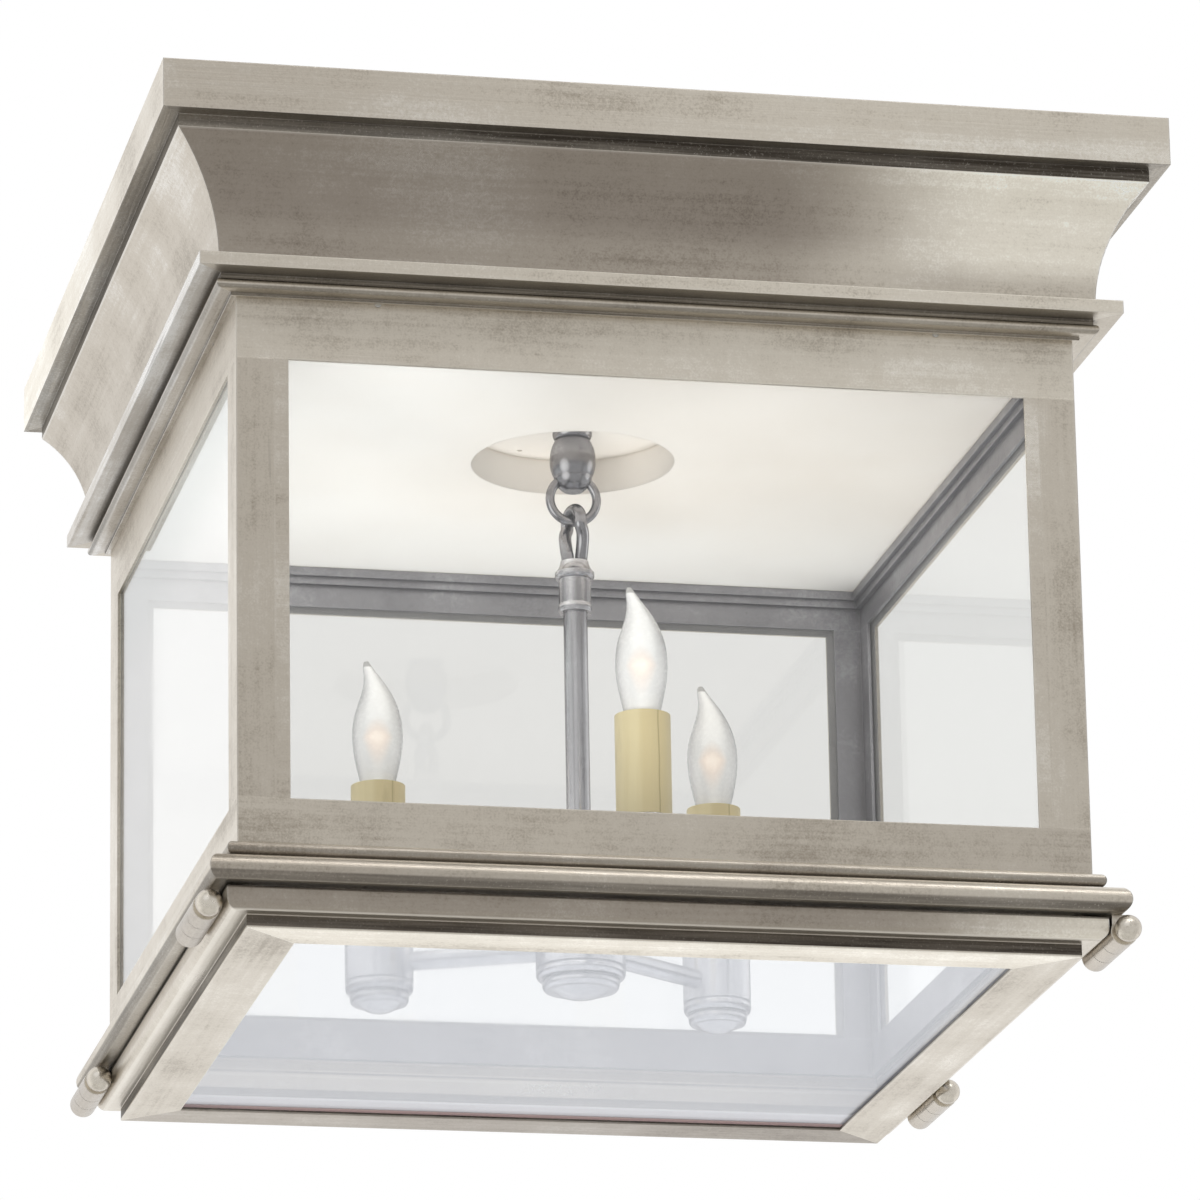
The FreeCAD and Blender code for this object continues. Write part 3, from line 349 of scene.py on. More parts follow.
def metalGroup(look):
    # tone = 0.5 + clouds + streaks along the run + grain
    # colour = deep, middle and pale as the tone goes from 0 over 0.5 to 1, times the shade
    # soil and painted shade = the larger of the hollows and the height bands, less the painted highlight
    # lines and specks
    # rubbed edges and painted edge highlight = where the rounded normal leans from the face's own, as it does
    # at edges
    group, tree, given, result = newGroup(
        "agedMetal",
        {
            "Run": ("NodeSocketVector", (1.0, 1.0, 1.0)),
            "Pale": ("NodeSocketColor", rgb(0.8, 0.8, 0.8)),
            "Middle": ("NodeSocketColor", rgb(0.6, 0.6, 0.6)),
            "Deep": ("NodeSocketColor", rgb(0.3, 0.3, 0.3)),
            "SoilAndShade": ("NodeSocketColor", rgb(0.1, 0.1, 0.1)),
            "Shade": ("NodeSocketFloat", 1.0),
            "Clouds": ("NodeSocketFloat", 0.5),
            "Streaks": ("NodeSocketFloat", 0.5),
            "Grain": ("NodeSocketFloat", 0.3),
            "Hollows": ("NodeSocketFloat", 0.7),
            "Bands": ("NodeSocketFloat", 0.0),
            "WearAndHighlight": ("NodeSocketFloat", 0.5),
            "Roughness": ("NodeSocketFloat", 0.35),
        },
        {"Color": "NodeSocketColor", "Roughness": "NodeSocketFloat", "Height": "NodeSocketFloat"},
    )
    place = tree.place()
    height = tree.split(place)[2]
    along = tree.vector("MULTIPLY", place, given["Run"])
    clouds, blotches, mottle = (
        tree.pattern(place, look[k], -0.5, 0.5) for k in ("clouds", "blotches", "mottle"))
    wide, drag, thin = (tree.pattern(along, look[k], -0.5, 0.5) for k in ("wide", "drag", "thin"))
    grain = tree.noise(place, *look["grain"])
    spots = tree.blend([(blotches, look["blotchShare"]), (mottle, look["mottleShare"])])
    cloudy = tree.times(tree.plus(clouds, spots), given["Clouds"])
    lines = [(wide, look["wideShare"]), (drag, look["dragShare"]), (thin, look["thinShare"])]
    streaky = tree.times(tree.blend(lines), given["Streaks"])
    tone = tree.plus(tree.plus(cloudy, streaky), 0.5)
    tone = tree.plus(tone, tree.times(tree.minus(grain, 0.5), given["Grain"]), clamp=True)
    color = tree.mix(tree.ramp(tone, 0.0, 0.5), given["Deep"], given["Middle"])
    color = tree.mix(tree.ramp(tone, 0.5, 1.0), color, given["Pale"])
    color = tree.mix(tree.pattern(along, look["nicks"], 0.0, look["nickShare"]), color, given["SoilAndShade"])

    # painted shade and patina in the hollows, where other faces close in
    openShare = tree.hollow(look["hollowReach"], look["hollowSamples"], only_local=True)
    hollowShade = tree.times(tree.ramp(openShare, *look["hollowSpan"], 1.0, 0.0), given["Hollows"])
    uneven = tree.blend([(wide, look["soilShadeWide"]), (thin, look["soilShadeThin"])], look["soilShadeEven"])
    bands = tree.times(heightBands(tree, height, soilAndShadeBands), given["Bands"])
    soiledAndShaded = tree.times(tree.math("MAXIMUM", hollowShade, bands), uneven, clamp=True)
    # painted highlight: bright lines along the bead tops, where they reflect the bright studio
    lineHighlight = tree.times(heightBands(tree, height, paintedHighlightLines), given["Bands"])
    specks = tree.times(tree.ramp(grain, *look["speckSpan"]), look["speckShare"])
    soiledAndShaded = tree.times(soiledAndShaded, tree.minus(1.0, tree.math("MAXIMUM", lineHighlight, specks)))

    # rubbed edges and a painted edge highlight, lighter where the rounded normal leans away
    lean = tree.dot(tree.rounded(look["edgeReach"]), tree.normal())
    edges = tree.times(tree.ramp(lean, *look["edgeSpan"], 1.0, 0.0), given["WearAndHighlight"])
    edges = tree.times(edges, tree.minus(1.0, soiledAndShaded))
    bright = tree.math("MAXIMUM", edges, tree.times(lineHighlight, look["lineShare"]))
    color = tree.mix(bright, color, given["Pale"])
    color = tree.mix(soiledAndShaded, color, given["SoilAndShade"])
    shade = tree.node("ShaderNodeCombineXYZ")
    for index, power in enumerate(look["shadePowers"]):
        tree.put(shade, index, tree.math("POWER", given["Shade"], power))
    tree.put(result, "Color", tree.vector("MULTIPLY", color, shade.outputs[0]))
    rough = tree.plus(given["Roughness"], tree.times(tree.minus(0.5, tone), look["roughSwing"]))
    tree.put(result, "Roughness", tree.plus(rough, tree.times(soiledAndShaded, look["roughSoilShade"])))
    tree.put(result, "Height", tree.blend([(thin, look["reliefThin"]), (grain, look["reliefGrain"])]))
    return group


agedMetal = metalGroup(metalPattern)


def stretch(low, high, along, start, end, first, last, soft=crisp):
    # part of a moulding from low to high over its foot, whose painted light and shade goes from first at
    # start to last at end
    span = (start, end, first, last)
    return {"low": low, "high": high, "axis": axisNames.index(along), "span": span, "soft": soft}


def toneShade(tree, tones, piece):
    # painted light and shade = product over the stretches of 1 + inside * (level - 1), where level runs along
    # x or y
    place = tree.split(tree.place())
    total = None
    for row in tones:
        away = tree.distance(place[2], foot(piece) + (row["low"] + row["high"]) / 2)
        half = (row["high"] - row["low"]) / 2
        inside = tree.ramp(away, half - row["soft"], half + row["soft"], 1.0, 0.0)
        level = tree.ramp(place[row["axis"]], *row["span"])
        factor = tree.plus(1.0, tree.times(inside, tree.minus(level, 1.0)))
        total = factor if total is None else tree.times(total, factor)
    return total


def innerStrip(tree, piece, axis, sign, row):
    # 1 where the place is deeper than the row's depth under the outer face and within its heights, and the
    # normal's share towards the outside is less than the row's lean, else 0
    place = tree.split(tree.place())
    edge = outerFace(piece, axis) - row["depth"]
    share = tree.ramp(tree.times(place[axis], sign), edge - crisp, edge + crisp, 1.0, 0.0)
    away = tree.distance(place[2], foot(piece) + (row["low"] + row["high"]) / 2)
    half = (row["high"] - row["low"]) / 2
    share = tree.times(share, tree.ramp(away, half - crisp, half + crisp, 1.0, 0.0))
    outwards = [0.0, 0.0, 0.0]
    outwards[axis] = sign
    facing = tree.dot(tree.normal(), outwards)
    return tree.times(share, tree.ramp(facing, row["lean"] - leanSoftness, row["lean"], 1.0, 0.0))


def frameRun(tree, run, axis, look):
    # run = the post's where |place along the rail| > postEdge and |height - window's middle| < its half,
    # else the rail's
    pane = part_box("side_glass_front")
    middle = (pane[0][2] + pane[1][2]) / 2
    half = (pane[1][2] - pane[0][2]) / 2 - look["paneLap"]
    edge, soft = look["postEdge"], look["soft"]
    place = tree.split(tree.place())
    across = tree.ramp(tree.math("ABSOLUTE", place[axis]), edge - soft, edge + soft)
    level = tree.ramp(tree.distance(place[2], middle), half - soft, half + soft, 1.0, 0.0)
    rails, posts = ((*runShares[key], 1.0) for key in (run, "z"))
    return tree.mix(tree.times(across, level), rails, posts)


def innerFinish(tree, shader, effect, look, insides):
    # colour = the metal's, or the strip's paint inside it; metal share = the look's * (1 - inside)
    # painted glow = paint * inside * its strength: light given off though no lamp is there, which lifts the
    # shade in the door's rebate
    color, metallic = effect.outputs["Color"], look["metallic"]
    glow = None
    for share, paint, paintedGlow in insides:
        color = tree.mix(share, color, paint)
        metallic = tree.times(metallic, tree.minus(1.0, share))
        if paintedGlow:
            glow = tree.mix(tree.times(share, paintedGlow), black if glow is None else glow, paint)
    if glow is not None:
        addLight(tree, shader, glow)
    tree.put(shader, "Base Color", color)
    tree.put(shader, "Metallic", metallic)


def gleamLight(tree, gleams):
    # painted highlights, given off as light = largest over the gleams of level * smooth((normal . way -
    # start) / (1 - start))
    normal = tree.normal()
    total = None
    for way, start, level in gleams:
        spot = tree.ramp(tree.dot(normal, way), start, 1.0, 0.0, level)
        total = spot if total is None else tree.math("MAXIMUM", total, spot)
    return tree.mix(total, black, gleamColor)


def metalMaterial(name, look, run, changes=None):
    # colour = the group's, times a shade that falls from rimPeak to the look's rim on round pieces
    material, tree, shader, _ = newMaterial(name)
    effect = tree.node("ShaderNodeGroup", node_tree=agedMetal)
    for socket, value in {**look["effect"], **(changes or {})}.items():
        tree.put(effect, socket, value)
    tree.put(effect, "Run", runShares[run])
    if look["rim"] < 1.0:
        # painted reflection of a dark room: the gloss colour of small round pieces falls off towards their
        # outline
        tree.put(effect, "Shade", tree.ramp(tree.turned(), *rimSpan, rimPeak, look["rim"]))
    tree.put(shader, "Roughness", effect.outputs["Roughness"])
    tree.put(shader, "Base Color", effect.outputs["Color"])
    tree.put(shader, "Metallic", look["metallic"])
    # painted highlights on round pieces
    if "gleams" in look:
        addLight(tree, shader, gleamLight(tree, look["gleams"]))
    addRelief(tree, shader, effect.outputs["Height"], look["relief"], reliefDepth, look["rounding"])
    return material, tree, shader, effect


def mouldingMaterial(piece, stem, side):
    # the outer metal with the moulding's own run, tones and inner strips
    axis, sign = sideAxes[side]
    run = axisNames[1 - axis]
    look = metalLooks["outer"]
    changes = {**stemChanges[stem], **paintedSheenChanges.get(piece, {})}
    material, tree, shader, effect = metalMaterial(f"{piece}_nickel", look, run, changes)
    if stem == "face_frame":
        tree.put(effect, "Run", frameRun(tree, run, 1 - axis, frameLook))
    if piece in paintedLightAndShade:
        tree.put(effect, "Shade", toneShade(tree, paintedLightAndShade[piece], piece))
    rows = innerStrips.get(stem, []) + innerStrips.get(piece, [])
    insides = [(innerStrip(tree, piece, axis, sign, row), row["paint"], row["paintedGlow"]) for row in rows]
    if insides:
        innerFinish(tree, shader, effect, look, insides)
    return material


metalLooks = {
    "outer": {
        "effect": {
            "Pale": rgb(0.800, 0.757, 0.680), "Middle": rgb(0.612, 0.560, 0.480),
            "Deep": rgb(0.380, 0.335, 0.275), "SoilAndShade": rgb(0.090, 0.077, 0.063),
            "Clouds": 0.34, "Streaks": 0.26, "Grain": 0.75,
            "Hollows": 0.85, "Bands": 1.0, "WearAndHighlight": 1.0, "Roughness": 0.34,
        },
        "metallic": 1.0, "rounding": 0.0006, "relief": 0.25, "rim": 1.0,
    },
    "hinge": {
        "effect": {
            "Pale": rgb(0.850, 0.810, 0.740), "Middle": rgb(0.680, 0.630, 0.550),
            "Deep": rgb(0.400, 0.355, 0.295), "SoilAndShade": rgb(0.090, 0.077, 0.063),
            "Clouds": 0.22, "Streaks": 0.20, "Grain": 0.6,
            "Hollows": 0.55, "Bands": 0.0, "WearAndHighlight": 1.0, "Roughness": 0.28,
        },
        "metallic": 1.0, "rounding": 0.0006, "relief": 0.25, "rim": 0.60,
        "gleams": [((-0.35, -0.90, 0.15), 0.93, 0.22)],
    },
    "inner": {
        "effect": {
            "Pale": rgb(0.58, 0.58, 0.61), "Middle": rgb(0.345, 0.34, 0.36), "Deep": rgb(0.20, 0.195, 0.21),
            "SoilAndShade": rgb(0.085, 0.08, 0.085), "Clouds": 0.25, "Streaks": 0.2, "Grain": 0.4,
            "Hollows": 0.55, "Bands": 0.0, "WearAndHighlight": 0.6, "Roughness": 0.42,
        },
        "metallic": 0.8, "rounding": 0.0005, "relief": 0.25, "rim": 1.0,
    },
    "cluster": {
        "effect": {
            "Pale": rgb(0.86, 0.855, 0.88), "Middle": rgb(0.54, 0.535, 0.56), "Deep": rgb(0.29, 0.285, 0.30),
            "SoilAndShade": rgb(0.07, 0.068, 0.072), "Clouds": 0.22, "Streaks": 0.30, "Grain": 0.55,
            "Hollows": 0.95, "Bands": 0.0, "WearAndHighlight": 0.9, "Roughness": 0.20,
        },
        "metallic": 1.0, "rounding": 0.0005, "relief": 0.22, "rim": 0.24,
        "gleams": [((-0.50, -0.86, 0.05), 0.88, 0.16), ((0.74, -0.67, 0.05), 0.96, 0.12)],
    },
    "hanger": {
        "effect": {
            "Pale": rgb(0.62, 0.615, 0.64), "Middle": rgb(0.35, 0.345, 0.365), "Deep": rgb(0.19, 0.185, 0.20),
            "SoilAndShade": rgb(0.06, 0.058, 0.062), "Clouds": 0.25, "Streaks": 0.25, "Grain": 0.6,
            "Hollows": 0.95, "Bands": 0.0, "WearAndHighlight": 0.9, "Roughness": 0.22,
        },
        "metallic": 1.0, "rounding": 0.0005, "relief": 0.22, "rim": 0.30,
        "gleams": [((-0.55, -0.78, -0.28), 0.955, 0.50), ((0.62, -0.74, -0.25), 0.970, 0.34)],
    },
    "steel": {
        "effect": {
            "Pale": rgb(0.72, 0.72, 0.70), "Middle": rgb(0.56, 0.56, 0.54), "Deep": rgb(0.34, 0.34, 0.33),
            "SoilAndShade": rgb(0.10, 0.09, 0.08), "Clouds": 0.4, "Streaks": 0.2, "Grain": 0.4,
            "Hollows": 0.5, "Bands": 0.0, "WearAndHighlight": 0.4, "Roughness": 0.3,
        },
        "metallic": 1.0, "rounding": 0.0003, "relief": 0.2, "rim": 0.7,
    },
    "brass": {
        "effect": {
            "Pale": rgb(0.80, 0.66, 0.40), "Middle": rgb(0.66, 0.52, 0.29), "Deep": rgb(0.38, 0.28, 0.14),
            "SoilAndShade": rgb(0.12, 0.08, 0.04), "Clouds": 0.4, "Streaks": 0.3, "Grain": 0.3,
            "Hollows": 0.6, "Bands": 0.0, "WearAndHighlight": 0.3, "Roughness": 0.32,
        },
        "metallic": 1.0, "rounding": 0.0003, "relief": 0.2, "rim": 0.7,
    },
}
rimSpan = (0.35, 0.92)  # how far a round piece has turned away where its rim starts and is full
rimPeak = 1.05  # shade of a round piece's middle
gleamColor = rgb(1.0, 0.99, 1.0)
# how much the noise runs across each axis, for metal rubbed along x, y, z or no way at all
runShares = {"x": (0.03, 1.0, 1.0), "y": (1.0, 0.03, 1.0), "z": (1.0, 1.0, 0.05), "none": (0.6, 0.6, 0.6)}
# axis that each side faces along, and which way
sideAxes = {"front": (1, -1.0), "right": (0, 1.0), "back": (1, 1.0), "left": (0, -1.0)}
# metres: from a side's middle to its posts' grain, how far a pane reaches under the rails, softness
frameLook = {"postEdge": 0.164, "paneLap": 0.0085, "soft": 0.0005}

# painted light and shade in broad stretches: low and high over the piece's foot, the axis that the tone runs
# along, where it starts and ends in metres, first and last tone, and softness
paintedLightAndShade = {
    "crown_front": [
        stretch(0.0001, 0.0503, "x", 0.045, 0.150, 0.50, 1.45),  # cove
        stretch(0.0559, 0.0781, "x", -0.20, 0.10, 0.88, 1.08),  # fascia
        stretch(-0.0069, 0.0181, "x", -0.20, 0.06, 1.18, 1.40, soft=0.0080),  # foot of the cove
        stretch(-0.0069, 0.0161, "x", 0.06, 0.13, 1.00, 0.50, soft=0.0100),
    ],
    "crown_left": [
        stretch(0.0001, 0.0503, "y", -0.20, 0.20, 0.88, 0.84),
        stretch(0.0559, 0.0781, "y", -0.20, 0.20, 1.04, 1.40),
    ],
    "crown_right": [stretch(0.0001, 0.0503, "y", -0.20, 0.20, 1.10, 0.90)],
    "neck_front": [stretch(0.0077, 0.0135, "x", -0.20, 0.20, 0.98, 1.18)],
    "face_frame_front": [
        stretch(-0.0005, 0.0200, "x", -0.10, 0.15, 0.96, 0.90),  # lower rail
        stretch(0.0200, 0.2090, "x", -0.165, -0.10, 0.89, 0.98),  # posts
        stretch(0.2090, 0.2350, "x", -0.15, 0.12, 1.00, 1.13),  # upper rail
    ],
    "base_front": [stretch(0.0000, 0.0175, "x", -0.15, 0.18, 0.78, 0.98)],
    "door_rail_front": [
        stretch(0.0060, 0.0152, "x", 0.08, 0.20, 0.60, 1.40),  # face
        stretch(0.0008, 0.0053, "x", 0.08, 0.20, 0.55, 0.80),  # wall of the tray
        stretch(-0.0008, 0.0003, "x", -0.20, 0.20, 1.28, 1.28),  # flange
    ],
    "door_rail_back": [stretch(-0.0008, 0.0054, "x", -0.20, 0.05, 0.70, 0.56)],
}
leanSoftness = 0.3
# dull inner faces, some with a painted glow: depth under the outer face, low and high over the foot, and lean
innerStrips = {
    "face_frame": [
        {
            "paint": rgb(0.42, 0.415, 0.43), "paintedGlow": 0.0,
            "depth": 0.0010, "low": -1.0, "high": 1.0, "lean": -0.5,
        },
    ],
    "door_rail_back": [
        {  # ledge of the rebate
            "paint": rgb(0.40, 0.40, 0.42), "paintedGlow": 0.4,
            "depth": 0.0020, "low": 0.0128, "high": 0.0140, "lean": 0.5,
        },
        {  # copper line under it
            "paint": rgb(0.60, 0.36, 0.28), "paintedGlow": 0.5,
            "depth": 0.0010, "low": 0.0106, "high": 0.0128, "lean": -0.5,
        },
    ],
}
stemChanges = {
    "crown": {},
    "neck": {},
    "face_frame": {"Hollows": 0.1},
    "base": {},
    "door_rail": {"Hollows": 0.35},
}
# painted sheen: bluish streaks of light along the left neck, and a lighter left crown
paintedSheenChanges = {
    "neck_left": {
        "Pale": rgb(0.82, 0.81, 0.79), "Middle": rgb(0.59, 0.555, 0.505), "Streaks": 0.65, "Hollows": 0.7,
    },
    "crown_left": {"Pale": rgb(0.84, 0.82, 0.77)},
}

for stem in stemChanges:
    for side in sideNames:
        piece = f"{stem}_{side}"
        dress([piece], mouldingMaterial(piece, stem, side))

smallMetals = [
    # material, look, run, pieces
    ("hingeNickel", "hinge", "y", [
        "base_knuckles", "door_knuckles", "hinge_pin_front_left", "hinge_pin_front_right",
        "hinge_pin_back_left", "hinge_pin_back_right"]),
    ("innerNickel", "inner", "none", [
        "corner_posts", "top_retainers", "bottom_retainers", "door_glass_stops"]),
    ("clusterNickel", "cluster", "z", [
        "stem_collar", "stem_coupling", "stem_tube", "center_body", "center_finial", "cluster_arms",
        "socket_cups", "cup_finials"]),
    ("hangerNickel", "hanger", "none", ["loop_holder", "holder_cap", "hanging_ring", "hook"]),
    ("zincSteel", "steel", "none", ["mounting_crossbar", "center_nipple", "nipple_nuts", "pan_screws"]),
    ("bulbBrass", "brass", "none", [f"bulb_cap_{name}" for name in lightNames]),
]
for name, look, run, pieces in smallMetals:
    dress(pieces, metalMaterial(name, metalLooks[look], run)[0])
print("metal dressed")


# glass

glassLook = {
    "tint": rgb(0.862, 0.862, 0.852),
    "upper": rgb(0.862, 0.862, 0.852),
    "passing": rgb(0.93, 0.93, 0.92),
    "ior": 1.5,
    "paintedVeilGlow": black,
    "fade": (0.072, 0.022),  # metres under the pane's top where the upper tone starts and is full
    "smear": (9.0, 4.0, 0.6, 0.35, 0.75),
    "smearRoughness": 0.03,
}
glassChanges = {
    "side_glass_back": {"tint": rgb(0.815, 0.815, 0.805), "upper": rgb(0.815, 0.815, 0.805)},
    "side_glass_right": {"tint": rgb(0.90, 0.905, 0.895), "upper": rgb(0.90, 0.905, 0.895), "ior": 1.12},
    "side_glass_left": {"upper": rgb(0.70, 0.73, 0.715)},
    "door_glass": {
        "tint": rgb(0.835, 0.84, 0.83),
        "upper": rgb(0.835, 0.84, 0.83),
        "paintedVeilGlow": rgb(0.030, 0.036, 0.052),
    },
}


def clearGlass(piece, look):
    # tint = its plain tone, smoothly turning to the upper one near the pane's top
    # shadow and diffuse rays pass straight through, tinted, so that the pane lets the light in
    material, tree, shader, output = newMaterial(f"{piece}_clear")
    place = tree.place()
    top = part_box(piece)[1][2]
    start, full = (top - drop for drop in look["fade"])
    rise = tree.ramp(tree.split(place)[2], start, full)
    tree.put(shader, "Base Color", tree.mix(rise, look["tint"], look["upper"]))
    # painted reflection: a faint bluish light given off by the pane
    addLight(tree, shader, look["paintedVeilGlow"])
    smear = tree.pattern(place, look["smear"])
    tree.put(shader, "Roughness", tree.ramp(smear, 0.0, 1.0, 0.0, look["smearRoughness"]))
    tree.put(shader, "Metallic", 0.0)
    tree.put(shader, "Transmission Weight", 1.0)
    tree.put(shader, "IOR", look["ior"])
    passing = tree.node("ShaderNodeBsdfTransparent")
    tree.put(passing, 0, look["passing"])
    path = tree.node("ShaderNodeLightPath")
    mixed = tree.node("ShaderNodeMixShader")
    tree.put(mixed, 0, tree.math("MAXIMUM", path.outputs["Is Shadow Ray"], path.outputs["Is Diffuse Ray"]))
    tree.put(mixed, 1, shader.outputs[0])
    tree.put(mixed, 2, passing.outputs[0])
    tree.put(output, "Surface", mixed.outputs[0])
    return material


for piece in onSides("side_glass") + ["door_glass"]:
    dress([piece], clearGlass(piece, {**glassLook, **glassChanges.get(piece, {})}))


# ceiling pan

panLook = {
    "paint": rgb(0.935, 0.928, 0.912),
    "warm": rgb(0.800, 0.757, 0.705),
    # painted shade in the hollows
    "edge": rgb(0.78, 0.69, 0.56),
    "cloud": (8.0, 4.0, 0.6, 0.35, 0.70),
    "cloudShare": 0.3,
    "warmAcross": (-0.10, 0.02, 0.0, 0.75),  # x from, x to, share from, share to
    "warmBack": (0.04, 0.14, 1.0, 0.15),  # the same along y
    "dustAndShade": (-0.15, 0.11, 0.88, 1.07),  # painted shade that dims the front strip: y from, y to, brightness from, brightness to
    "fine": (260.0, 3.0, 0.6),
    "roughness": (0.42, 0.55),
    "hollowReach": 0.004,
    "hollowSamples": 6,
    "hollowSpan": (0.3, 0.7),
    "hollowShare": 0.7,
    "rounding": 0.0012,
    "relief": 0.15,
}


def creamPaint(look):
    # warm = clouds + a share that grows to the right and fades towards the back
    # colour = (paint turned to warm) * painted shade, which dims the front strip; painted shade in the edge
    # colour in the hollows
    material, tree, shader, _ = newMaterial("creamPaint")
    place = tree.place()
    x, y, _ = tree.split(place)
    across = tree.times(tree.ramp(x, *look["warmAcross"]), tree.ramp(y, *look["warmBack"]))
    warm = tree.plus(tree.pattern(place, look["cloud"], 0.0, look["cloudShare"]), across, clamp=True)
    color = tree.mix(warm, look["paint"], look["warm"])
    color = tree.vector("MULTIPLY", color, tree.mix(tree.ramp(y, *look["dustAndShade"]), black, white))
    # painted shade in the hollows of the pan, in the edge colour
    openShare = tree.hollow(look["hollowReach"], look["hollowSamples"])
    hollowShade = tree.ramp(openShare, *look["hollowSpan"], look["hollowShare"], 0.0)
    tree.put(shader, "Base Color", tree.mix(hollowShade, color, look["edge"]))
    fine = tree.noise(place, *look["fine"])
    tree.put(shader, "Roughness", tree.ramp(fine, *fineSpan, *look["roughness"]))
    addRelief(tree, shader, fine, look["relief"], reliefDepth, look["rounding"])
    return material


# candle sleeves and lamp holders

sleeveLook = {
    # lit and shaded tones of the same cream: painted light and shade
    "light": rgb(0.85, 0.735, 0.440),
    "shade": rgb(0.76, 0.635, 0.350),
    "seam": rgb(0.46, 0.37, 0.17),
    "seamSide": (-0.20, -0.98, 0.0),  # the way that the front of each sleeve faces
    "seamAt": 0.0066,  # metres right of the middle
    "seamWidth": (0.00012, 0.00045),
    "seamShare": 0.75,
    "near": (0.020, 0.021),  # metres from a sleeve's middle that still belong to it
    "wave": (60.0, 3.0, 0.5),
    "waveWidth": 0.0009,
    "turn": (-0.0030, 0.0005),  # metres right of the middle where the half in painted shade starts and is full
    "streaks": (420.0, 3.0, 0.55),
    "streakRun": (1.0, 1.0, 0.04),
    "streakSpan": (0.45, 0.72, 0.0, 0.4),
    "drips": (90.0, 4.0, 0.6),
    "dripRun": (1.0, 1.0, 0.25),
    "dripSpan": (0.62, 0.74, 0.0, 0.35),
    "roughness": (0.38, 0.50),
    "relief": 0.25,
    "streakRelief": 0.4,
}


def creamSleeve(look):
    # reach = offset from the nearest sleeve's middle, square to the way its front faces
    # seam = share * smooth(1 - |reach + wave - seamAt| / seamWidth); the half right of turn is in painted
    # shade
    material, tree, shader, _ = newMaterial("creamSleeve")
    place = tree.place()
    across = (-look["seamSide"][1], look["seamSide"][0], 0.0)
    reach = None
    for name in lightNames:
        x, y, _ = middleOf(f"bulb_cap_{name}")
        flat = tree.vector("MULTIPLY", tree.vector("SUBTRACT", place, (x, y, 0.0)), (1.0, 1.0, 0.0))
        near = tree.ramp(tree.vector("LENGTH", flat, (0.0, 0.0, 0.0), 1), *look["near"], 1.0, 0.0)
        side = tree.times(tree.dot(flat, across), near)
        reach = side if reach is None else tree.plus(reach, side)
    wavy = tree.times(tree.minus(tree.noise(place, *look["wave"]), 0.5), look["waveWidth"])
    fromSeam = tree.distance(tree.plus(reach, wavy), look["seamAt"])
    seam = tree.ramp(fromSeam, *look["seamWidth"], look["seamShare"], 0.0)
    streak = tree.noise(tree.vector("MULTIPLY", place, look["streakRun"]), *look["streaks"])
    drips = tree.noise(tree.vector("MULTIPLY", place, look["dripRun"]), *look["drips"])
    # painted shade on the half right of turn
    color = tree.mix(tree.ramp(reach, *look["turn"]), look["light"], look["shade"])
    color = tree.mix(tree.ramp(streak, *look["streakSpan"]), color, look["shade"])
    color = tree.mix(tree.ramp(drips, *look["dripSpan"]), color, look["seam"])
    tree.put(shader, "Base Color", tree.mix(seam, color, look["seam"]))
    tree.put(shader, "Roughness", tree.ramp(streak, *fineSpan, *look["roughness"]))
    height = tree.minus(tree.times(streak, look["streakRelief"]), seam)
    addRelief(tree, shader, height, look["relief"], reliefDepth)
    return material


socketLook = {
    "plastic": rgb(0.05, 0.045, 0.04),
    "dusty": rgb(0.11, 0.10, 0.09),
    "dustAndShade": (120.0, 4.0, 0.6, 0.45, 0.70),
    "fine": (900.0, 2.0, 0.5),
    "roughness": (0.35, 0.60),
    "relief": 0.2,
    "reliefDepth": 0.0002,
}


def socketPlastic(look):
    # colour and roughness = the plastic's, turned to the dusty ones by a cloudy noise
    material, tree, shader, _ = newMaterial("socketPlastic")
    place = tree.place()
    dustAndShade = tree.pattern(place, look["dustAndShade"])
    tree.put(shader, "Base Color", tree.mix(dustAndShade, look["plastic"], look["dusty"]))
    tree.put(shader, "Roughness", tree.ramp(dustAndShade, 0.0, 1.0, *look["roughness"]))
    addRelief(tree, shader, tree.noise(place, *look["fine"]), look["relief"], look["reliefDepth"])
    return material


# bulbs

bulbLook = {
    "frost": rgb(0.95, 0.95, 0.95),
    # painted shade: the frost greys towards the bulb's outline
    "rim": rgb(0.44, 0.44, 0.45),
    "rimSpan": (0.18, 0.95),
    "knob": rgb(0.30, 0.29, 0.28),
    "knobShare": 0.7,
    "knobHeight": 0.0026,  # metres under the bulb's tip
    "knobSoftness": 0.0004,
    "milk": rgb(0.09, 0.09, 0.09),
    "shine": rgb(0.28, 0.28, 0.27),
    "shineSide": (-0.15, -0.95, 0.27),  # the way that the painted highlight on the glass faces
    "shineSpan": (0.78, 1.0),
    "glow": rgb(0.27, 0.14, 0.05),
    "core": rgb(0.42, 0.31, 0.21),
    "glowHeight": 0.0370,  # metres under the bulb's tip
    "glowTall": 78.0,  # the glow's spread grows by this for each metre up or down
    "glowWide": 4.6,  # and by this as the glass turns away
    "glowSpan": (0.15, 1.25),
    "coreSpan": (0.05, 0.60),
    "fine": (700.0, 3.0, 0.5),
    "roughness": (0.22, 0.30),
    "coat": 0.4,
    "coatRoughness": 0.12,
    "relief": 0.05,
    "reliefDepth": 0.0002,
}


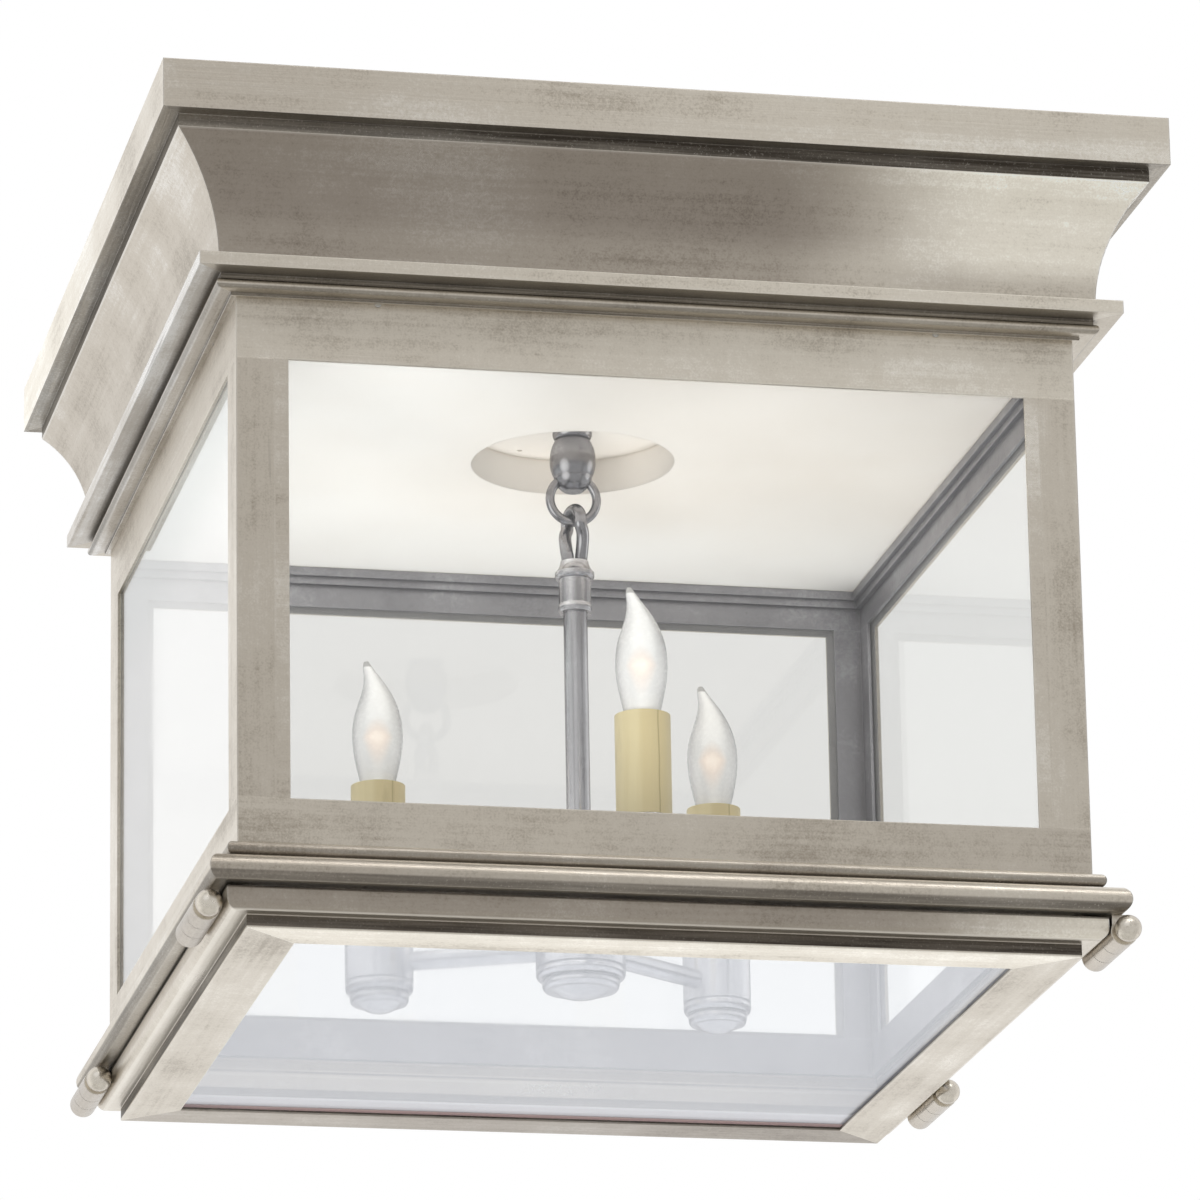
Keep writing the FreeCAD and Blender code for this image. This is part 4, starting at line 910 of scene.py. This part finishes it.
def frostedGlass(look):
    # spread = glowTall * |z - glow's height| + glowWide * how far the glass turns away
    # light from within = milk, turned to a painted highlight where the glass faces the studio, then to the
    # warm glow where the spread is small, and to its core where it is smallest
    material, tree, shader, _ = newMaterial("frostedGlass")
    place = tree.place()
    height = tree.split(place)[2]
    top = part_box("bulb_glass_front")[1][2]
    turned = tree.turned()
    fine = tree.noise(place, *look["fine"])
    neck, soft = top - look["knobHeight"], look["knobSoftness"]
    knob = tree.ramp(height, neck - soft, neck + soft)
    # painted shade towards the outline
    body = tree.mix(tree.ramp(turned, *look["rimSpan"]), look["frost"], look["rim"])
    tree.put(shader, "Base Color", tree.mix(tree.times(knob, look["knobShare"]), body, look["knob"]))
    tree.put(shader, "Roughness", tree.ramp(fine, *fineSpan, *look["roughness"]))
    away = tree.distance(height, top - look["glowHeight"])
    spread = tree.plus(tree.times(away, look["glowTall"]), tree.times(turned, look["glowWide"]))
    glow = tree.ramp(spread, *look["glowSpan"], 1.0, 0.0)
    core = tree.ramp(spread, *look["coreSpan"], 1.0, 0.0)
    shine = tree.ramp(tree.dot(tree.normal(), look["shineSide"]), *look["shineSpan"])
    shine = tree.times(shine, tree.minus(1.0, glow))
    shine = tree.times(shine, tree.minus(1.0, knob))
    light = tree.mix(shine, look["milk"], look["shine"])
    light = tree.mix(glow, light, look["glow"])
    addLight(tree, shader, tree.mix(core, light, look["core"]))
    tree.put(shader, "Coat Weight", look["coat"])
    tree.put(shader, "Coat Roughness", look["coatRoughness"])
    addRelief(tree, shader, fine, look["relief"], look["reliefDepth"])
    return material


dress(["ceiling_pan"], creamPaint(panLook))
dress(["candle_sleeves"], creamSleeve(sleeveLook))
dress(["lamp_sockets"], socketPlastic(socketLook))
dress([f"bulb_glass_{name}" for name in lightNames], frostedGlass(bulbLook))
print("glass, paint and bulbs dressed")


# stage and light

stageLook = {
    "floorLevel": -3.40,
    "floorHalf": 3.5,
    "floorColor": rgb(0.71, 0.71, 0.70),
    "floorRoughness": 0.8,
    "backdrop": 1.0,  # what the camera sees
    "frontLight": 0.72,  # what lights the object from the front, and from the front below
    "frontLowLight": 0.74,
    "frontSpan": (-0.5, 0.1),  # heights between which these two change over
    "backLight": 1.10,
    "backSpan": (-0.4, 0.6),  # y between which front changes to back
}
areaLooks = {
    "overhead": {
        "place": (0.3, -1.6, 1.9), "aim": (0.0, 0.0, -0.1),
        "size": (2.2, 0.5), "watts": 12.0, "glossy": True,
    },
    "below": {
        "place": (0.2, 0.32, -2.1), "aim": (0.0, 0.0, -0.1),
        "size": (1.2, 1.2), "watts": 44.0, "glossy": False,
    },
    "fill": {
        "place": (-1.3, -2.7, -1.3), "aim": (0.0, 0.0, -0.2),
        "size": (1.5, 1.5), "watts": 60.0, "glossy": False,
    },
}


def makeWorld(look):
    # level = front light, turning to the back light as y grows; the camera itself sees the plain backdrop
    world = bpy.data.worlds.new("studio")
    world.use_nodes = True
    world.node_tree.nodes.clear()
    tree = NodeTree(world.node_tree)
    output = tree.node("ShaderNodeOutputWorld")
    towards = tree.split(tree.node("ShaderNodeTexCoord").outputs["Generated"])
    front = tree.ramp(towards[2], *look["frontSpan"], look["frontLowLight"], look["frontLight"])
    behind = tree.ramp(towards[1], *look["backSpan"])
    level = tree.plus(front, tree.times(behind, tree.minus(look["backLight"], front)))
    mixed = tree.node("ShaderNodeMixShader")
    tree.put(mixed, 0, tree.node("ShaderNodeLightPath").outputs["Is Camera Ray"])
    for slot, strength in ((1, level), (2, look["backdrop"])):
        plain = tree.node("ShaderNodeBackground")
        tree.put(plain, "Color", white)
        tree.put(plain, "Strength", strength)
        tree.put(mixed, slot, plain.outputs[0])
    tree.put(output, 0, mixed.outputs[0])
    scene.world = world


def makeFloor(look):
    # one square, floorHalf to each side of the middle
    level, half = look["floorLevel"], look["floorHalf"]
    corners = [(-half, -half, level), (half, -half, level), (half, half, level), (-half, half, level)]
    mesh = bpy.data.meshes.new("floor")
    mesh.from_pydata(corners, [], [(0, 1, 2, 3)])
    floor = bpy.data.objects.new("floor", mesh)
    scene.collection.objects.link(floor)
    material, tree, shader, _ = newMaterial("floorPaint")
    tree.put(shader, "Base Color", look["floorColor"])
    tree.put(shader, "Roughness", look["floorRoughness"])
    mesh.materials.append(material)


def makeArea(name, look):
    # a rectangle of light at its place, turned so that it looks at its aim
    data = bpy.data.lights.new(name, "AREA")
    data.shape = "RECTANGLE"
    data.size, data.size_y = look["size"]
    data.energy = look["watts"]
    light = bpy.data.objects.new(name, data)
    light.visible_glossy = look["glossy"]
    light.visible_transmission = look["glossy"]
    direction = Vector(look["aim"]) - Vector(look["place"])
    turn = direction.to_track_quat("-Z", "Y").to_matrix().to_4x4()
    light.matrix_world = Matrix.Translation(look["place"]) @ turn
    scene.collection.objects.link(light)


makeWorld(stageLook)
makeFloor(stageLook)
for name, look in areaLooks.items():
    makeArea(name, look)
scene.view_settings.view_transform = "Standard"
print("stage set")
